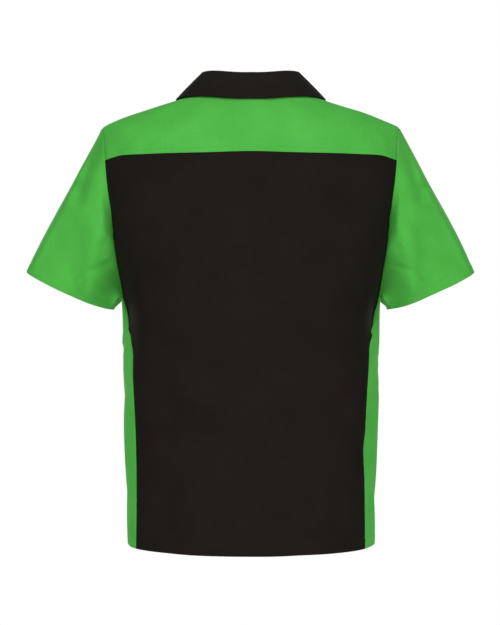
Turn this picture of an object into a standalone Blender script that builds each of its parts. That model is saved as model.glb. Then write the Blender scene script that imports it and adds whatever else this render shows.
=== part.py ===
"""Short-sleeved work shirt, filled out as if worn, with nobody in it. Metres, +Z up.

The front faces -Y and the wearer's left is +X. The origin is level with the points where the
shoulders meet the neck, in the middle of the neck hole. The body, yoke and sleeves are first
shaped as one skin, which is then cut along the seams into the pieces that a maker sews.
"""

import math
from collections import namedtuple

import bmesh
import bpy
from mathutils import Vector

# ---------------------------------------------------------------- cloth and seams
CLOTH = 0.0018  # wall of the shirting
COLLAR_CLOTH = 0.0022  # two plies with a stiffener between them
PLACKET_CLOTH = 0.0012
SEAM_GAP = 0.0003  # between two pieces where they are sewn
MITRE_LIMIT = 2.0  # how far an offset may stretch at a sharp corner

# ---------------------------------------------------------------- body
# Horizontal sections. half_width and the depths are those of the whole rounded section. Up to
# ARMPIT, back_edge and front_edge are where the side panel's seams cross it. Over ARMPIT they are
# the armhole's two sides.
Section = namedtuple("Section", "height half_width back_depth front_depth back_edge front_edge")
SECTIONS = (
    Section(-0.7632, 0.2090, 0.1470, 0.1360, 0.1890, 0.1797),
    Section(-0.692, 0.2120, 0.1460, 0.1370, 0.1888, 0.1802),
    Section(-0.590, 0.2150, 0.1440, 0.1390, 0.1895, 0.1817),
    Section(-0.467, 0.2176, 0.1460, 0.1420, 0.1952, 0.1860),
    Section(-0.386, 0.2190, 0.1490, 0.1450, 0.2052, 0.1982),
    Section(-0.343, 0.2218, 0.1500, 0.1460, 0.2185, 0.2140),
    Section(-0.305, 0.2292, 0.1493, 0.1448, 0.2240, 0.2070),
    Section(-0.260, 0.2425, 0.1460, 0.1411, 0.2280, 0.2030),
    Section(-0.205, 0.2556, 0.1403, 0.1322, 0.2336, 0.2070),
    Section(-0.155, 0.2630, 0.1328, 0.1190, 0.2396, 0.2190),
    Section(-0.123, 0.2660, 0.1265, 0.1080, 0.2426, 0.2270),
)
ROUNDNESS = 2.15  # 2 is an ellipse, and more is boxier
HEM = SECTIONS[0].height
ARMPIT = SECTIONS[5].height
ARMHOLE_HEAD = SECTIONS[-1].height  # over it the armhole's sides lean in to the shoulder tip
UNDERARM_DIP = 0.009  # the armhole's lowest point lies this far under ARMPIT

# ---------------------------------------------------------------- shoulders and neck
# The shoulder line seen from behind. Inside the neck hole it only carries the surface on.
Ridge = namedtuple("Ridge", "x height")
RIDGE = (
    Ridge(0.000, 0.0070),
    Ridge(0.050, 0.0050),
    Ridge(0.083, 0.0000),
    Ridge(0.137, -0.0180),
    Ridge(0.185, -0.0325),
    Ridge(0.226, -0.0478),
    Ridge(0.2465, -0.0570),
    Ridge(0.2524, -0.0613),
)
SHOULDER_TIP = RIDGE[-1].x
BACK_YOKE_SEAM = -0.1145
BACK_YOKE_RISE = 0.0018  # the seam's middle lies higher
BACK_YOKE_DROP = 0.0068  # and its ends lower, at the armholes
BACK_YOKE_DROP_FROM = 0.209
FRONT_CHEST_LINE = -0.130  # where the front starts to lean back to the shoulder
FRONT_YOKE_ANGLE = math.radians(56)  # 90 degrees is the shoulder line
FRONT_LEAN = 1.8  # 1 is a round shoulder and 2 a straight slope, at the centre front
NECK_HALF = 0.083
NECK_BACK = 0.064
NECK_FRONT = 0.074

# ---------------------------------------------------------------- front opening
OVERLAP = 0.016  # each front runs this far past the centre
SINK_WIDTH = 0.030  # over which the right front dips under the left one
LAYER_GAP = 0.0004
BUTTON_COUNT = 6
TOP_BUTTON = -0.098
BUTTON_PITCH = 0.105
BUTTON_RADIUS = 0.0056
BUTTON_THICKNESS = 0.0026

# ---------------------------------------------------------------- sleeves
CUFF_CENTRE = Vector((0.3118, -0.030, -0.3370))
CUFF_HALF_WIDTH = 0.0805
CUFF_HALF_DEPTH = 0.0450
CUFF_TILT = math.radians(25.0)  # the cuff's outer end is higher
CUFF_CURL = 0.030  # and its inner end bends forward
ARM_FORWARD = math.radians(6)
SLEEVE_BULGE = 0.009  # to the back and front, halfway down
OUTER_BULGE = 0.0030  # and outwards, lower down

# ---------------------------------------------------------------- collar
# Round from the centre back at 0 degrees to the centre front at 180.
Stand = namedtuple("Stand", "angle rise lean")
STAND = (
    Stand(0, 0.0352, 0.0080),
    Stand(60, 0.0342, 0.0040),
    Stand(90, 0.0328, 0.0006),
    Stand(140, 0.0290, -0.0010),
    Stand(180, 0.0230, -0.0030),
)
FOLD_RADIUS = 0.0030
FALL_HALF_WIDTH = 0.127
FALL_BACK = 0.0855
FALL_BULGE = 0.0030  # of the fall at the back and front
SIDE_BULGE = 0.0004  # and over the shoulders, where it runs straight down
COLLAR_POINT_X = 0.046
COLLAR_POINT_ANGLE = math.radians(17)
COLLAR_END_ANGLE = math.radians(179.6)  # the two ends stop just short of the centre front
COLLAR_REST = 0.0006  # between the collar's edge and the shirt under it

# ---------------------------------------------------------------- tucks and folds
# Tucks, where the cloth is drawn in along both armholes, on the back (facing 1) and the front
# (facing -1). inner and outer are the widths of a tuck's slopes on the body's and on the sleeve's
# side of the seam. Each fades out from its reach behind or in front of TUCK_MIDDLE.
Tuck = namedtuple("Tuck", "facing height tall inner outer depth reach")
TUCKS = (
    Tuck(1, -0.235, 0.050, 0.0060, 0.0045, 0.0090, 0.075),
    Tuck(1, -0.345, 0.060, 0.0180, 0.0190, 0.0370, 0.070),
    Tuck(-1, -0.230, 0.055, 0.0060, 0.0050, 0.0070, 0.040),
    Tuck(-1, -0.345, 0.055, 0.0180, 0.0190, 0.0150, 0.028),
)
TUCK_MIDDLE = -0.020

# Soft troughs, seen and pushed in straight on from one side: across is x from the back or front,
# and y from the left or right. depth is how deep the trough is, and a swell has a negative one.
SIDES = {  # the way out of each side, and which coordinate is across
    "back": (Vector((0, 1, 0)), 0),
    "front": (Vector((0, -1, 0)), 0),
    "left": (Vector((1, 0, 0)), 1),
    "right": (Vector((-1, 0, 0)), 1),
}
Fold = namedtuple("Fold", "side across0 height0 across1 height1 width depth")
FOLDS = (
    # from the shoulder tip down each sleeve
    Fold("back", 0.253, -0.080, 0.272, -0.180, 0.013, 0.0080),
    Fold("back", -0.254, -0.080, -0.271, -0.185, 0.016, 0.0080),
    Fold("front", 0.248, -0.090, 0.268, -0.200, 0.016, 0.0055),
    Fold("front", -0.250, -0.085, -0.262, -0.195, 0.015, 0.0060),
    # a swell down each sleeve beside the armpit
    Fold("back", 0.256, -0.245, 0.272, -0.330, 0.021, -0.0130),
    Fold("back", -0.256, -0.245, -0.272, -0.330, 0.021, -0.0130),
    Fold("front", 0.256, -0.240, 0.272, -0.330, 0.024, -0.0070),
    Fold("front", -0.256, -0.240, -0.272, -0.330, 0.024, -0.0070),
    # from each armpit down to the cuff's inner corner
    Fold("back", 0.2340, -0.315, 0.2450, -0.362, 0.014, 0.0040),
    Fold("back", -0.2340, -0.310, -0.2460, -0.362, 0.014, 0.0040),
    Fold("front", 0.2340, -0.305, 0.2450, -0.362, 0.014, 0.0040),
    Fold("front", -0.2340, -0.310, -0.2440, -0.362, 0.014, 0.0040),
    # across each sleeve over its hem
    Fold("back", 0.245, -0.295, 0.300, -0.312, 0.012, 0.0030),
    Fold("back", -0.245, -0.290, -0.305, -0.310, 0.012, 0.0030),
    # down the back from the shoulder blades
    Fold("back", 0.062, -0.330, 0.040, -0.700, 0.040, 0.0035),
    Fold("back", -0.095, -0.420, -0.080, -0.763, 0.038, 0.0035),
    Fold("back", 0.150, -0.380, 0.135, -0.763, 0.030, 0.0040),
    Fold("back", -0.160, -0.330, -0.150, -0.640, 0.026, 0.0035),
    # down the front from the chest
    Fold("front", 0.090, -0.300, 0.075, -0.763, 0.036, 0.0045),
    Fold("front", -0.100, -0.330, -0.085, -0.763, 0.036, 0.0040),
    Fold("front", 0.160, -0.350, 0.150, -0.680, 0.028, 0.0040),
    Fold("front", -0.165, -0.330, -0.150, -0.700, 0.028, 0.0035),
    # slanting over the side panels
    Fold("left", 0.060, -0.440, -0.020, -0.560, 0.020, 0.0030),
    Fold("left", -0.070, -0.500, 0.030, -0.700, 0.022, 0.0030),
    Fold("right", 0.055, -0.430, -0.040, -0.520, 0.020, 0.0030),
    Fold("right", 0.070, -0.600, -0.010, -0.720, 0.022, 0.0030),
)
FOLD_FACING = 1.5  # folds fade out where the cloth turns away from their side, faster if lower

# ---------------------------------------------------------------- mesh counts
BACK_COLUMNS = 9  # from the centre back to the side panel
NECK_COLUMNS = 4  # of those, the ones that end at the neck
SIDE_COLUMNS = 6
FRONT_COLUMNS = 9  # from the centre front to the side panel
LOWER_ROWS = 12
UPPER_ROWS = 13
YOKE_ROWS = 6
FRONT_YOKE_ROWS = 4
FRONT_CHEST_ROWS = 3
SLEEVE_ROWS = 14
COLLAR_COLUMNS = 24
STAND_ROWS = 2
FOLD_ROWS = 5
FALL_ROWS = 4
BUTTON_SIDES = 20

BLACK_CLOTH = ("black_poplin", (0.0144, 0.0116, 0.0097), 0.85)
GREEN_CLOTH = ("green_poplin", (0.0742, 0.4508, 0.0612), 0.80)
BLACK_PLASTIC = ("black_plastic", (0.012, 0.012, 0.012), 0.35)


# ================================================================ reading the tables
def read(table, column, place, by="height"):
    """The value of a column at a place between the rows, on a smooth curve with no overshoot."""
    places = [getattr(row, by) for row in table]
    values = [getattr(row, column) for row in table]
    place = min(max(place, places[0]), places[-1])
    steps = [b - a for a, b in zip(places, places[1:])]
    slopes = [(b - a) / step for a, b, step in zip(values, values[1:], steps)]
    tangents = [slopes[0]]
    for before, after in zip(slopes, slopes[1:]):
        same_way = before * after > 0
        tangents.append(2 * before * after / (before + after) if same_way else 0.0)
    tangents.append(slopes[-1])
    i = max(k for k in range(len(steps)) if places[k] <= place)
    t = (place - places[i]) / steps[i]
    return (
        values[i] * (1 + 2 * t) * (1 - t) ** 2
        + tangents[i] * steps[i] * t * (1 - t) ** 2
        + values[i + 1] * t * t * (3 - 2 * t)
        + tangents[i + 1] * steps[i] * t * t * (t - 1)
    )


def mix(a, b, t):
    return a + (b - a) * t


def smooth(t):
    """0 before 0, 1 after 1, and an S-curve between them."""
    t = min(max(t, 0.0), 1.0)
    return t * t * (3 - 2 * t)


# ================================================================ the surface that the skin lies on
def section_y(x, height, facing):
    """How far the body's section reaches back (facing 1) or to the front (facing -1) at x."""
    half_width = read(SECTIONS, "half_width", height)
    depth = read(SECTIONS, "back_depth" if facing > 0 else "front_depth", height)
    share = min(abs(x) / half_width, 1.0)
    return facing * depth * (1 - share**ROUNDNESS) ** (1 / ROUNDNESS)


def chest_height(x, facing):
    """The height where the body's wall starts to lean in towards the shoulder line."""
    if facing < 0:
        return FRONT_CHEST_LINE
    run = SHOULDER_TIP - BACK_YOKE_DROP_FROM
    rise = BACK_YOKE_RISE * smooth(1 - abs(x) / NECK_HALF)
    return BACK_YOKE_SEAM + rise - BACK_YOKE_DROP * smooth((abs(x) - BACK_YOKE_DROP_FROM) / run)


def lean(x, facing):
    return 1.0 if facing > 0 else mix(FRONT_LEAN, 1.0, smooth(abs(x) / SHOULDER_TIP))


def shoulder_point(x, angle, facing):
    """A point over the chest line. angle is 0 there and 90 degrees on the shoulder line."""
    foot = chest_height(x, facing)
    top = read(RIDGE, "height", abs(x), by="x")
    power = lean(x, facing)
    y = section_y(x, foot, facing) * math.cos(angle) ** power
    return Vector((x, y, mix(foot, top, math.sin(angle) ** power)))


def shoulder_angle(x, y, facing):
    """The angle at which shoulder_point has this x and y."""
    reach = abs(section_y(x, chest_height(x, facing), facing))
    return math.acos(min(1.0, (abs(y) / reach) ** (1 / lean(x, facing))))


def neck_plan(turn):
    """The neckline from above: turn is 0 at the centre back and 180 degrees at the front."""
    depth = NECK_BACK if math.cos(turn) > 0 else NECK_FRONT
    return NECK_HALF * math.sin(turn), depth * math.cos(turn)


def neck_angle(turn):
    x, y = neck_plan(turn)
    return shoulder_angle(x, y, 1 if y >= 0 else -1)


def neck_point(turn):
    x, y = neck_plan(turn)
    return shoulder_point(x, neck_angle(turn), 1 if y >= 0 else -1)


def yoke_corner_turn():
    """Where the front yoke seam meets the neckline, found by halving."""
    low, high = math.pi / 2, math.pi
    for _ in range(40):
        middle = (low + high) / 2
        low, high = (middle, high) if neck_angle(middle) > FRONT_YOKE_ANGLE else (low, middle)
    return low


def neck_turns():
    """The turns of the skin's columns on the left half of the neckline, from back to front."""
    back = [math.pi / 2 * k / NECK_COLUMNS for k in range(NECK_COLUMNS)]
    corner = yoke_corner_turn()
    shoulder = [mix(math.pi / 2, corner, k / FRONT_YOKE_ROWS) for k in range(FRONT_YOKE_ROWS)]
    count = FRONT_COLUMNS - (BACK_COLUMNS - NECK_COLUMNS) - 1
    first = math.pi - math.asin(OVERLAP / NECK_HALF)
    front = [mix(corner, first, k / count) for k in range(count + 1)]
    return back, shoulder, [*front, math.pi]


def neck_edge(turn):
    """The point of the skin's neckline at this turn, on the straight edges between its columns."""
    back, shoulder, front = neck_turns()
    turns = [*back, *shoulder, *front]
    i = max(k for k in range(len(turns) - 1) if turns[k] <= turn)
    share = (turn - turns[i]) / (turns[i + 1] - turns[i])
    return neck_point(turns[i]).lerp(neck_point(turns[i + 1]), share)


def armhole_x(angle, facing):
    """x of the armhole's edge between the chest line and the shoulder tip."""
    foot = read(SECTIONS, "back_edge" if facing > 0 else "front_edge", ARMHOLE_HEAD)
    return mix(foot, SHOULDER_TIP, math.sin(angle))


# ================================================================ the skin's columns and rows
def even_columns(height, facing, edge_x, count, first=0.0):
    """x of count + 1 columns, evenly spaced along the section from first to edge_x."""
    fine = 200
    xs = [mix(first, edge_x, i / fine) for i in range(fine + 1)]
    points = [Vector((x, section_y(x, height, facing))) for x in xs]
    run = [0.0]
    for a, b in zip(points, points[1:]):
        run.append(run[-1] + (b - a).length)
    columns, i = [], 0
    for k in range(count + 1):
        goal = run[-1] * k / count
        while i < fine - 1 and run[i + 1] < goal:
            i += 1
        columns.append(mix(xs[i], xs[i + 1], (goal - run[i]) / (run[i + 1] - run[i])))
    return columns


def front_columns(height, edge_x):
    """The front's columns. The first two are the centre and the edge of the overlap."""
    rest = even_columns(height, -1, edge_x, FRONT_COLUMNS - 1, first=OVERLAP)
    return [0.0, *rest]


def lower_body():
    """Patches of the back, side panel and front under the armpit, for the wearer's left."""
    back, side, front = [], [], []
    for row in range(LOWER_ROWS + 1):
        height = mix(HEM, ARMPIT, row / LOWER_ROWS)
        half_width = read(SECTIONS, "half_width", height)
        back_x = read(SECTIONS, "back_edge", height)
        front_x = read(SECTIONS, "front_edge", height)
        back.append(
            [
                Vector((x, section_y(x, height, 1), height))
                for x in even_columns(height, 1, back_x, BACK_COLUMNS)
            ]
        )
        front.append(
            [
                Vector((x, section_y(x, height, -1), height))
                for x in front_columns(height, front_x)
            ]
        )
        side.append(side_row(height, half_width, back[-1][-1], front[-1][-1], row))
    return back, side, front


def side_row(height, half_width, start, end, row):
    """The side panel's points at one height, from its back seam round to its front seam."""
    angles = []
    for point, depth in ((start, "back_depth"), (end, "front_depth")):
        reach = abs(point.y) / read(SECTIONS, depth, height)
        angles.append(math.asin(reach ** (ROUNDNESS / 2)))
    points = [start]
    for k in range(1, SIDE_COLUMNS):
        angle = mix(angles[0], -angles[1], k / SIDE_COLUMNS)
        x = half_width * math.cos(angle) ** (2 / ROUNDNESS)
        facing = 1 if angle >= 0 else -1
        dip = UNDERARM_DIP * math.sin(math.pi * k / SIDE_COLUMNS) * (row / LOWER_ROWS) ** 4
        points.append(Vector((x, section_y(x, height, facing), height - dip)))
    return [*points, end]


def upper_rows(facing, column_of):
    """Rows of the back or front from the armpit to the chest line."""
    edge = "back_edge" if facing > 0 else "front_edge"
    rows = []
    for row in range(UPPER_ROWS + 1):
        share = row / UPPER_ROWS
        level = mix(ARMPIT, ARMHOLE_HEAD, share)
        columns = column_of(level, read(SECTIONS, edge, level))
        points = []
        for x in columns:
            height = mix(ARMPIT, chest_height(x, facing), share)
            points.append(Vector((x, section_y(x, height, facing), height)))
        rows.append(points)
    return rows


def fan(bottom_xs, top, rows, facing):
    """Rows from the chest line up to a top edge of (x, angle) pairs, column by column."""
    return [
        [
            shoulder_point(mix(x0, x1, row / rows), angle * row / rows, facing)
            for x0, (x1, angle) in zip(bottom_xs, top)
        ]
        for row in range(rows + 1)
    ]


def ridge_columns():
    """x of the columns on the shoulder line, from the neck to the tip."""
    count = BACK_COLUMNS - NECK_COLUMNS
    return [mix(NECK_HALF, SHOULDER_TIP, k / count) for k in range(count + 1)]


def back_yoke(bottom_xs):
    top = [(neck_plan(turn)[0], neck_angle(turn)) for turn in neck_turns()[0]]
    top += [(x, math.pi / 2) for x in ridge_columns()]
    return fan(bottom_xs, top, YOKE_ROWS, 1)


def front_yoke(corner):
    """The yoke's front part, from its seam up to the shoulder line. Column 0 is the neckline."""
    rows = []
    ridge = ridge_columns()
    for row in range(FRONT_YOKE_ROWS + 1):
        angle = mix(FRONT_YOKE_ANGLE, math.pi / 2, row / FRONT_YOKE_ROWS)
        turn = mix(corner, math.pi / 2, row / FRONT_YOKE_ROWS)
        inner_x, outer_x = neck_plan(turn)[0], armhole_x(angle, -1)
        inner_angle = neck_angle(turn)
        points = []
        for x in ridge:
            share = (x - ridge[0]) / (ridge[-1] - ridge[0])
            across = mix(inner_x, outer_x, share)
            points.append(shoulder_point(across, mix(inner_angle, angle, share), -1))
        rows.append(points)
    return rows


def front_chest(bottom_xs, seam):
    """The front from the chest line up to the neckline and the yoke seam."""
    turns = reversed(neck_turns()[2][1:])
    top = [(neck_plan(turn)[0], neck_angle(turn)) for turn in turns]
    top += [(point.x, FRONT_YOKE_ANGLE) for point in seam]
    return fan(bottom_xs, top, FRONT_CHEST_ROWS, -1)


# ================================================================ sleeves
def cuff_axes():
    """The cuff's long axis, pointing outwards and up, and its short one, pointing back."""
    across = Vector((math.cos(CUFF_TILT), 0, math.sin(CUFF_TILT)))
    down = Vector((math.sin(CUFF_TILT), 0, -math.cos(CUFF_TILT)))
    back = Vector((0, math.cos(ARM_FORWARD), 0)) + down * math.sin(ARM_FORWARD)
    return across, back


def share_round(armhole, lowest):
    """Each armhole point's angle round the cuff: 0 at the tip and 180 degrees underneath."""
    closed = [*armhole, armhole[0]]
    run = [0.0]
    for a, b in zip(closed, closed[1:]):
        run.append(run[-1] + (b - a).length)
    half = run[lowest]
    return [
        math.pi * run[i] / half if i <= lowest else math.pi * (1 + (run[i] - half) / (run[-1] - half))
        for i in range(len(armhole))
    ]


def sleeve(armhole, lowest):
    """Rows of closed rings from the armhole to the cuff."""
    across, back = cuff_axes()
    angles = share_round(armhole, lowest)
    rows = []
    for row in range(SLEEVE_ROWS + 1):
        share = row / SLEEVE_ROWS
        ring = []
        for point, angle in zip(armhole, angles):
            cosine, sine = math.cos(angle), math.sin(angle)
            curl = CUFF_CURL * ((1 - cosine) / 2) ** 4
            out = across * (CUFF_HALF_WIDTH * cosine) + back * (CUFF_HALF_DEPTH * sine - curl)
            bulge = back * (SLEEVE_BULGE * math.sin(math.pi * share) * sine)
            bulge += across * (OUTER_BULGE * math.sin(math.pi * share**2) * max(cosine, 0.0))
            ring.append(point.lerp(CUFF_CENTRE + out, share) + bulge)
        rows.append([*ring, ring[0]])
    return rows


# ================================================================ building the skin
def add_patch(mesh, rows, kind, outside_left=True):
    """Adds a grid of faces of one kind. Rows run upwards, and columns the way that faces out."""
    layer = mesh.faces.layers.int["kind"]
    grid = [[mesh.verts.new(point) for point in row] for row in rows]
    for low, high in zip(grid, grid[1:]):
        for a, b, c, d in zip(low, low[1:], high[1:], high):
            face = mesh.faces.new((a, b, c, d) if outside_left else (d, c, b, a))
            face[layer] = kind


def tucked(point):
    """Where the tucks move a point of the skin."""
    push = 0.0
    for tuck in TUCKS:
        seam = read(SECTIONS, "back_edge" if tuck.facing > 0 else "front_edge", point.z)
        off = abs(point.x) - seam
        across = (off / tuck.inner) ** 2 if off < 0 else off / tuck.outer
        away = across + ((point.z - tuck.height) / tuck.tall) ** 2
        fade = smooth((point.y - TUCK_MIDDLE) * tuck.facing / tuck.reach)
        push += tuck.facing * tuck.depth * fade * math.exp(-away)
    return point - Vector((0, push, 0))


def fold_push(point, normal):
    """How the folds move a point of the skin."""
    push = Vector()
    for fold in FOLDS:
        out, across = SIDES[fold.side]
        start = Vector((fold.across0, fold.height0))
        line = Vector((fold.across1, fold.height1)) - start
        away = Vector((point[across], point.z)) - start
        along = min(max(away.dot(line) / line.length_squared, 0.0), 1.0)
        distance = (away - line * along).length
        facing = smooth(normal.dot(out) * FOLD_FACING)
        push -= out * (fold.depth * facing * math.exp(-((distance / fold.width) ** 2)))
    return push


BACK, SIDE, FRONT, YOKE, SLEEVE = range(5)


def make_skin():
    """The whole shirt but its collar as one open surface, its faces marked by kind."""
    mesh = bmesh.new()
    mesh.faces.layers.int.new("kind")
    back, side, front = lower_body()
    upper_back = upper_rows(1, lambda level, edge: even_columns(level, 1, edge, BACK_COLUMNS))
    upper_front = upper_rows(-1, front_columns)
    yoke = back_yoke([point.x for point in upper_back[-1]])
    yoke_front = front_yoke(yoke_corner_turn())
    chest = front_chest([point.x for point in upper_front[-1]], yoke_front[0])
    down_the_back = [row[-1] for row in reversed(yoke)] + [row[-1] for row in reversed(upper_back)][1:]
    up_the_front = [row[-1] for row in upper_front] + [row[-1] for row in chest][1:]
    up_the_front += [row[-1] for row in yoke_front][1:]
    armhole = down_the_back + side[-1][1:] + up_the_front[1:-1]
    lowest = len(down_the_back) - 1 + SIDE_COLUMNS // 2
    for rows, kind, outside_left in (
        (back, BACK, False),
        (side, SIDE, False),
        (front, FRONT, True),
        (upper_back, BACK, False),
        (upper_front, FRONT, True),
        (chest, FRONT, True),
        (yoke, YOKE, False),
        (yoke_front, YOKE, True),
        (sleeve(armhole, lowest), SLEEVE, False),
    ):
        add_patch(mesh, rows, kind, outside_left)
        mirrored = [[Vector((-p.x, p.y, p.z)) for p in row] for row in rows]
        add_patch(mesh, mirrored, kind, not outside_left)
    bmesh.ops.remove_doubles(mesh, verts=mesh.verts, dist=1e-5)
    for vert in mesh.verts:
        vert.co = tucked(vert.co)
    mesh.normal_update()
    pushes = [fold_push(vert.co, vert.normal) for vert in mesh.verts]
    for vert, push in zip(mesh.verts, pushes):
        vert.co += push
    mesh.normal_update()
    return mesh


# ================================================================ from skin to walls
def mitre(vert, faces):
    """The step in the cloth's plane that moves a boundary corner one unit in from its edges."""
    inward = []
    for corner in vert.link_loops:
        if corner.face not in faces:
            continue
        for loop in (corner, corner.link_loop_prev):
            if sum(face in faces for face in loop.edge.link_faces) == 1:
                along = loop.link_loop_next.vert.co - loop.vert.co
                inward.append(vert.normal.cross(along).normalized())
    if len(inward) != 2:
        return Vector()
    return (inward[0] + inward[1]) / max(1 + inward[0].dot(inward[1]), 1 / MITRE_LIMIT)


def even_offset(vert):
    """The step that takes a skin point one unit in through the wall, longer at a crease."""
    facing = min(vert.normal.dot(face.normal) for face in vert.link_faces)
    return -vert.normal / max(facing, 1 / MITRE_LIMIT)


def add_rim(made, outer, inner, a, b):
    """Two triangles, split the same way on both sides of a seam so that their gap stays even."""
    if a.index < b.index:
        made.faces.new((outer[b], outer[a], inner[b]))
        made.faces.new((outer[a], inner[a], inner[b]))
    else:
        made.faces.new((outer[b], outer[a], inner[a]))
        made.faces.new((outer[b], inner[a], inner[b]))


def wall(faces, lift, thickness):
    """A closed wall under some of the skin's faces. lift(point) moves it out from the skin."""
    verts = {vert for face in faces for vert in face.verts}
    outer, inner = {}, {}
    made = bmesh.new()
    for vert in sorted(verts, key=lambda v: v.index):
        step = mitre(vert, faces) * (SEAM_GAP / 2)
        inwards = even_offset(vert)
        top = vert.co + step - inwards * lift(vert.co)
        outer[vert] = made.verts.new(top)
        inner[vert] = made.verts.new(top + inwards * thickness)
    for face in sorted(faces, key=lambda f: f.index):
        made.faces.new([outer[vert] for vert in face.verts])
        made.faces.new([inner[vert] for vert in reversed(face.verts)])
        for loop in face.loops:
            if sum(other in faces for other in loop.edge.link_faces) == 1:
                add_rim(made, outer, inner, loop.vert, loop.link_loop_next.vert)
    return made


def node(name, mesh, cloth, collection):
    """Turns a bmesh into a named object with its own material."""
    data = bpy.data.meshes.new(name)
    mesh.to_mesh(data)
    mesh.free()
    data.shade_smooth()
    data.set_sharp_from_angle(angle=math.radians(40))
    colour_name, colour, roughness = cloth
    material = bpy.data.materials.new(f"{name}_{colour_name}")
    material.use_nodes = True
    shader = material.node_tree.nodes["Principled BSDF"]
    shader.inputs["Base Color"].default_value = (*colour, 1)
    shader.inputs["Roughness"].default_value = roughness
    data.materials.append(material)
    made = bpy.data.objects.new(name, data)
    collection.objects.link(made)
    return made


def flat(_point):
    return 0.0


def under_the_left_front(point):
    """The right front dips under the left one by a wall and a gap."""
    return -(CLOTH + LAYER_GAP) * smooth((point.x + OVERLAP + SINK_WIDTH) / SINK_WIDTH)


def on_the_left_front(_point):
    return LAYER_GAP + PLACKET_CLOTH


def shirt_pieces(skin, collection):
    """Cuts the skin into the pieces that are sewn together."""
    skin.faces.index_update()
    skin.verts.index_update()
    layer = skin.faces.layers.int["kind"]
    place = {face: face.calc_center_median().x for face in skin.faces}

    def cut(name, kind, keep, cloth, lift=flat, thickness=CLOTH):
        faces = {face for face in skin.faces if face[layer] == kind and keep(place[face])}
        node(name, wall(faces, lift, thickness), cloth, collection)

    cut("back", BACK, lambda x: True, BLACK_CLOTH)
    cut("yoke", YOKE, lambda x: True, GREEN_CLOTH)
    cut("front_left", FRONT, lambda x: x > -OVERLAP, BLACK_CLOTH)
    cut("front_right", FRONT, lambda x: x < OVERLAP, BLACK_CLOTH, lift=under_the_left_front)
    cut(
        "placket",
        FRONT,
        lambda x: abs(x) < OVERLAP,
        BLACK_CLOTH,
        lift=on_the_left_front,
        thickness=PLACKET_CLOTH,
    )
    for side, sign in (("left", 1), ("right", -1)):
        cut(f"side_panel_{side}", SIDE, lambda x, sign=sign: x * sign > 0, GREEN_CLOTH)
        cut(f"sleeve_{side}", SLEEVE, lambda x, sign=sign: x * sign > 0, GREEN_CLOTH)


# ================================================================ collar
def surface_normal(x, angle, facing):
    step = 1e-4
    here = shoulder_point(x, angle, facing)
    along = shoulder_point(x + step, angle, facing) - here
    up = here - shoulder_point(x, angle - step, facing)
    normal = along.cross(up).normalized()
    return normal if normal.dot(Vector((0, facing, 1))) > 0 else -normal


def fall_edge(turn):
    """The collar's outer edge, which lies on the yoke and the fronts."""
    if turn <= math.pi / 2:
        x = FALL_HALF_WIDTH * math.sin(turn)
        angle = shoulder_angle(x, FALL_BACK * math.cos(turn), 1)
        facing = 1
    else:
        share = (turn - math.pi / 2) / (COLLAR_END_ANGLE - math.pi / 2)
        x = mix(FALL_HALF_WIDTH, COLLAR_POINT_X, share**1.5)
        angle = mix(math.pi / 2, COLLAR_POINT_ANGLE, share**0.9)
        facing = -1
    lift = surface_normal(x, angle, facing) * (COLLAR_CLOTH + COLLAR_REST)
    return shoulder_point(x, angle, facing) + lift


def collar_column(turn):
    """One section of the collar's visible side: up the stand, over the fold and down the fall."""
    x, y = neck_plan(turn)
    depth = NECK_BACK if y > 0 else NECK_FRONT
    out = Vector((x / NECK_HALF**2, y / depth**2, 0)).normalized()
    up = Vector((0, 0, 1))
    foot = neck_edge(turn) + up * (2 * SEAM_GAP) - out * (COLLAR_CLOTH - 2 * SEAM_GAP)
    degrees = math.degrees(turn)
    rise = read(STAND, "rise", degrees, by="angle")
    head = foot + up * (rise - FOLD_RADIUS) - out * read(STAND, "lean", degrees, by="angle")
    column = [foot.lerp(head, k / STAND_ROWS) for k in range(STAND_ROWS)]
    for k in range(FOLD_ROWS + 1):
        angle = math.radians(mix(180, 20, k / FOLD_ROWS))
        column.append(
            head + out * (FOLD_RADIUS * (1 + math.cos(angle))) + up * (FOLD_RADIUS * math.sin(angle))
        )
    start, end = column[-1], fall_edge(turn)
    across = (end - start).normalized()
    bulge = (up - across * up.dot(across)).normalized()
    bulge *= mix(FALL_BULGE, SIDE_BULGE, abs(math.sin(turn)) ** 3)
    for k in range(1, FALL_ROWS + 1):
        share = k / FALL_ROWS
        column.append(start.lerp(end, share) + bulge * math.sin(math.pi * share))
    return column


def collar(collection):
    turns = [COLLAR_END_ANGLE * k / COLLAR_COLUMNS for k in range(COLLAR_COLUMNS + 1)]
    left = [collar_column(turn) for turn in turns]
    right = [[Vector((-p.x, p.y, p.z)) for p in column] for column in left[1:]]
    sheet = bmesh.new()
    sheet.faces.layers.int.new("kind")
    add_patch(sheet, [*reversed(right), *left], 0, outside_left=False)
    sheet.normal_update()
    sheet.faces.index_update()
    sheet.verts.index_update()
    node("collar", wall(set(sheet.faces), flat, COLLAR_CLOTH), BLACK_CLOTH, collection)
    sheet.free()


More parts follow.
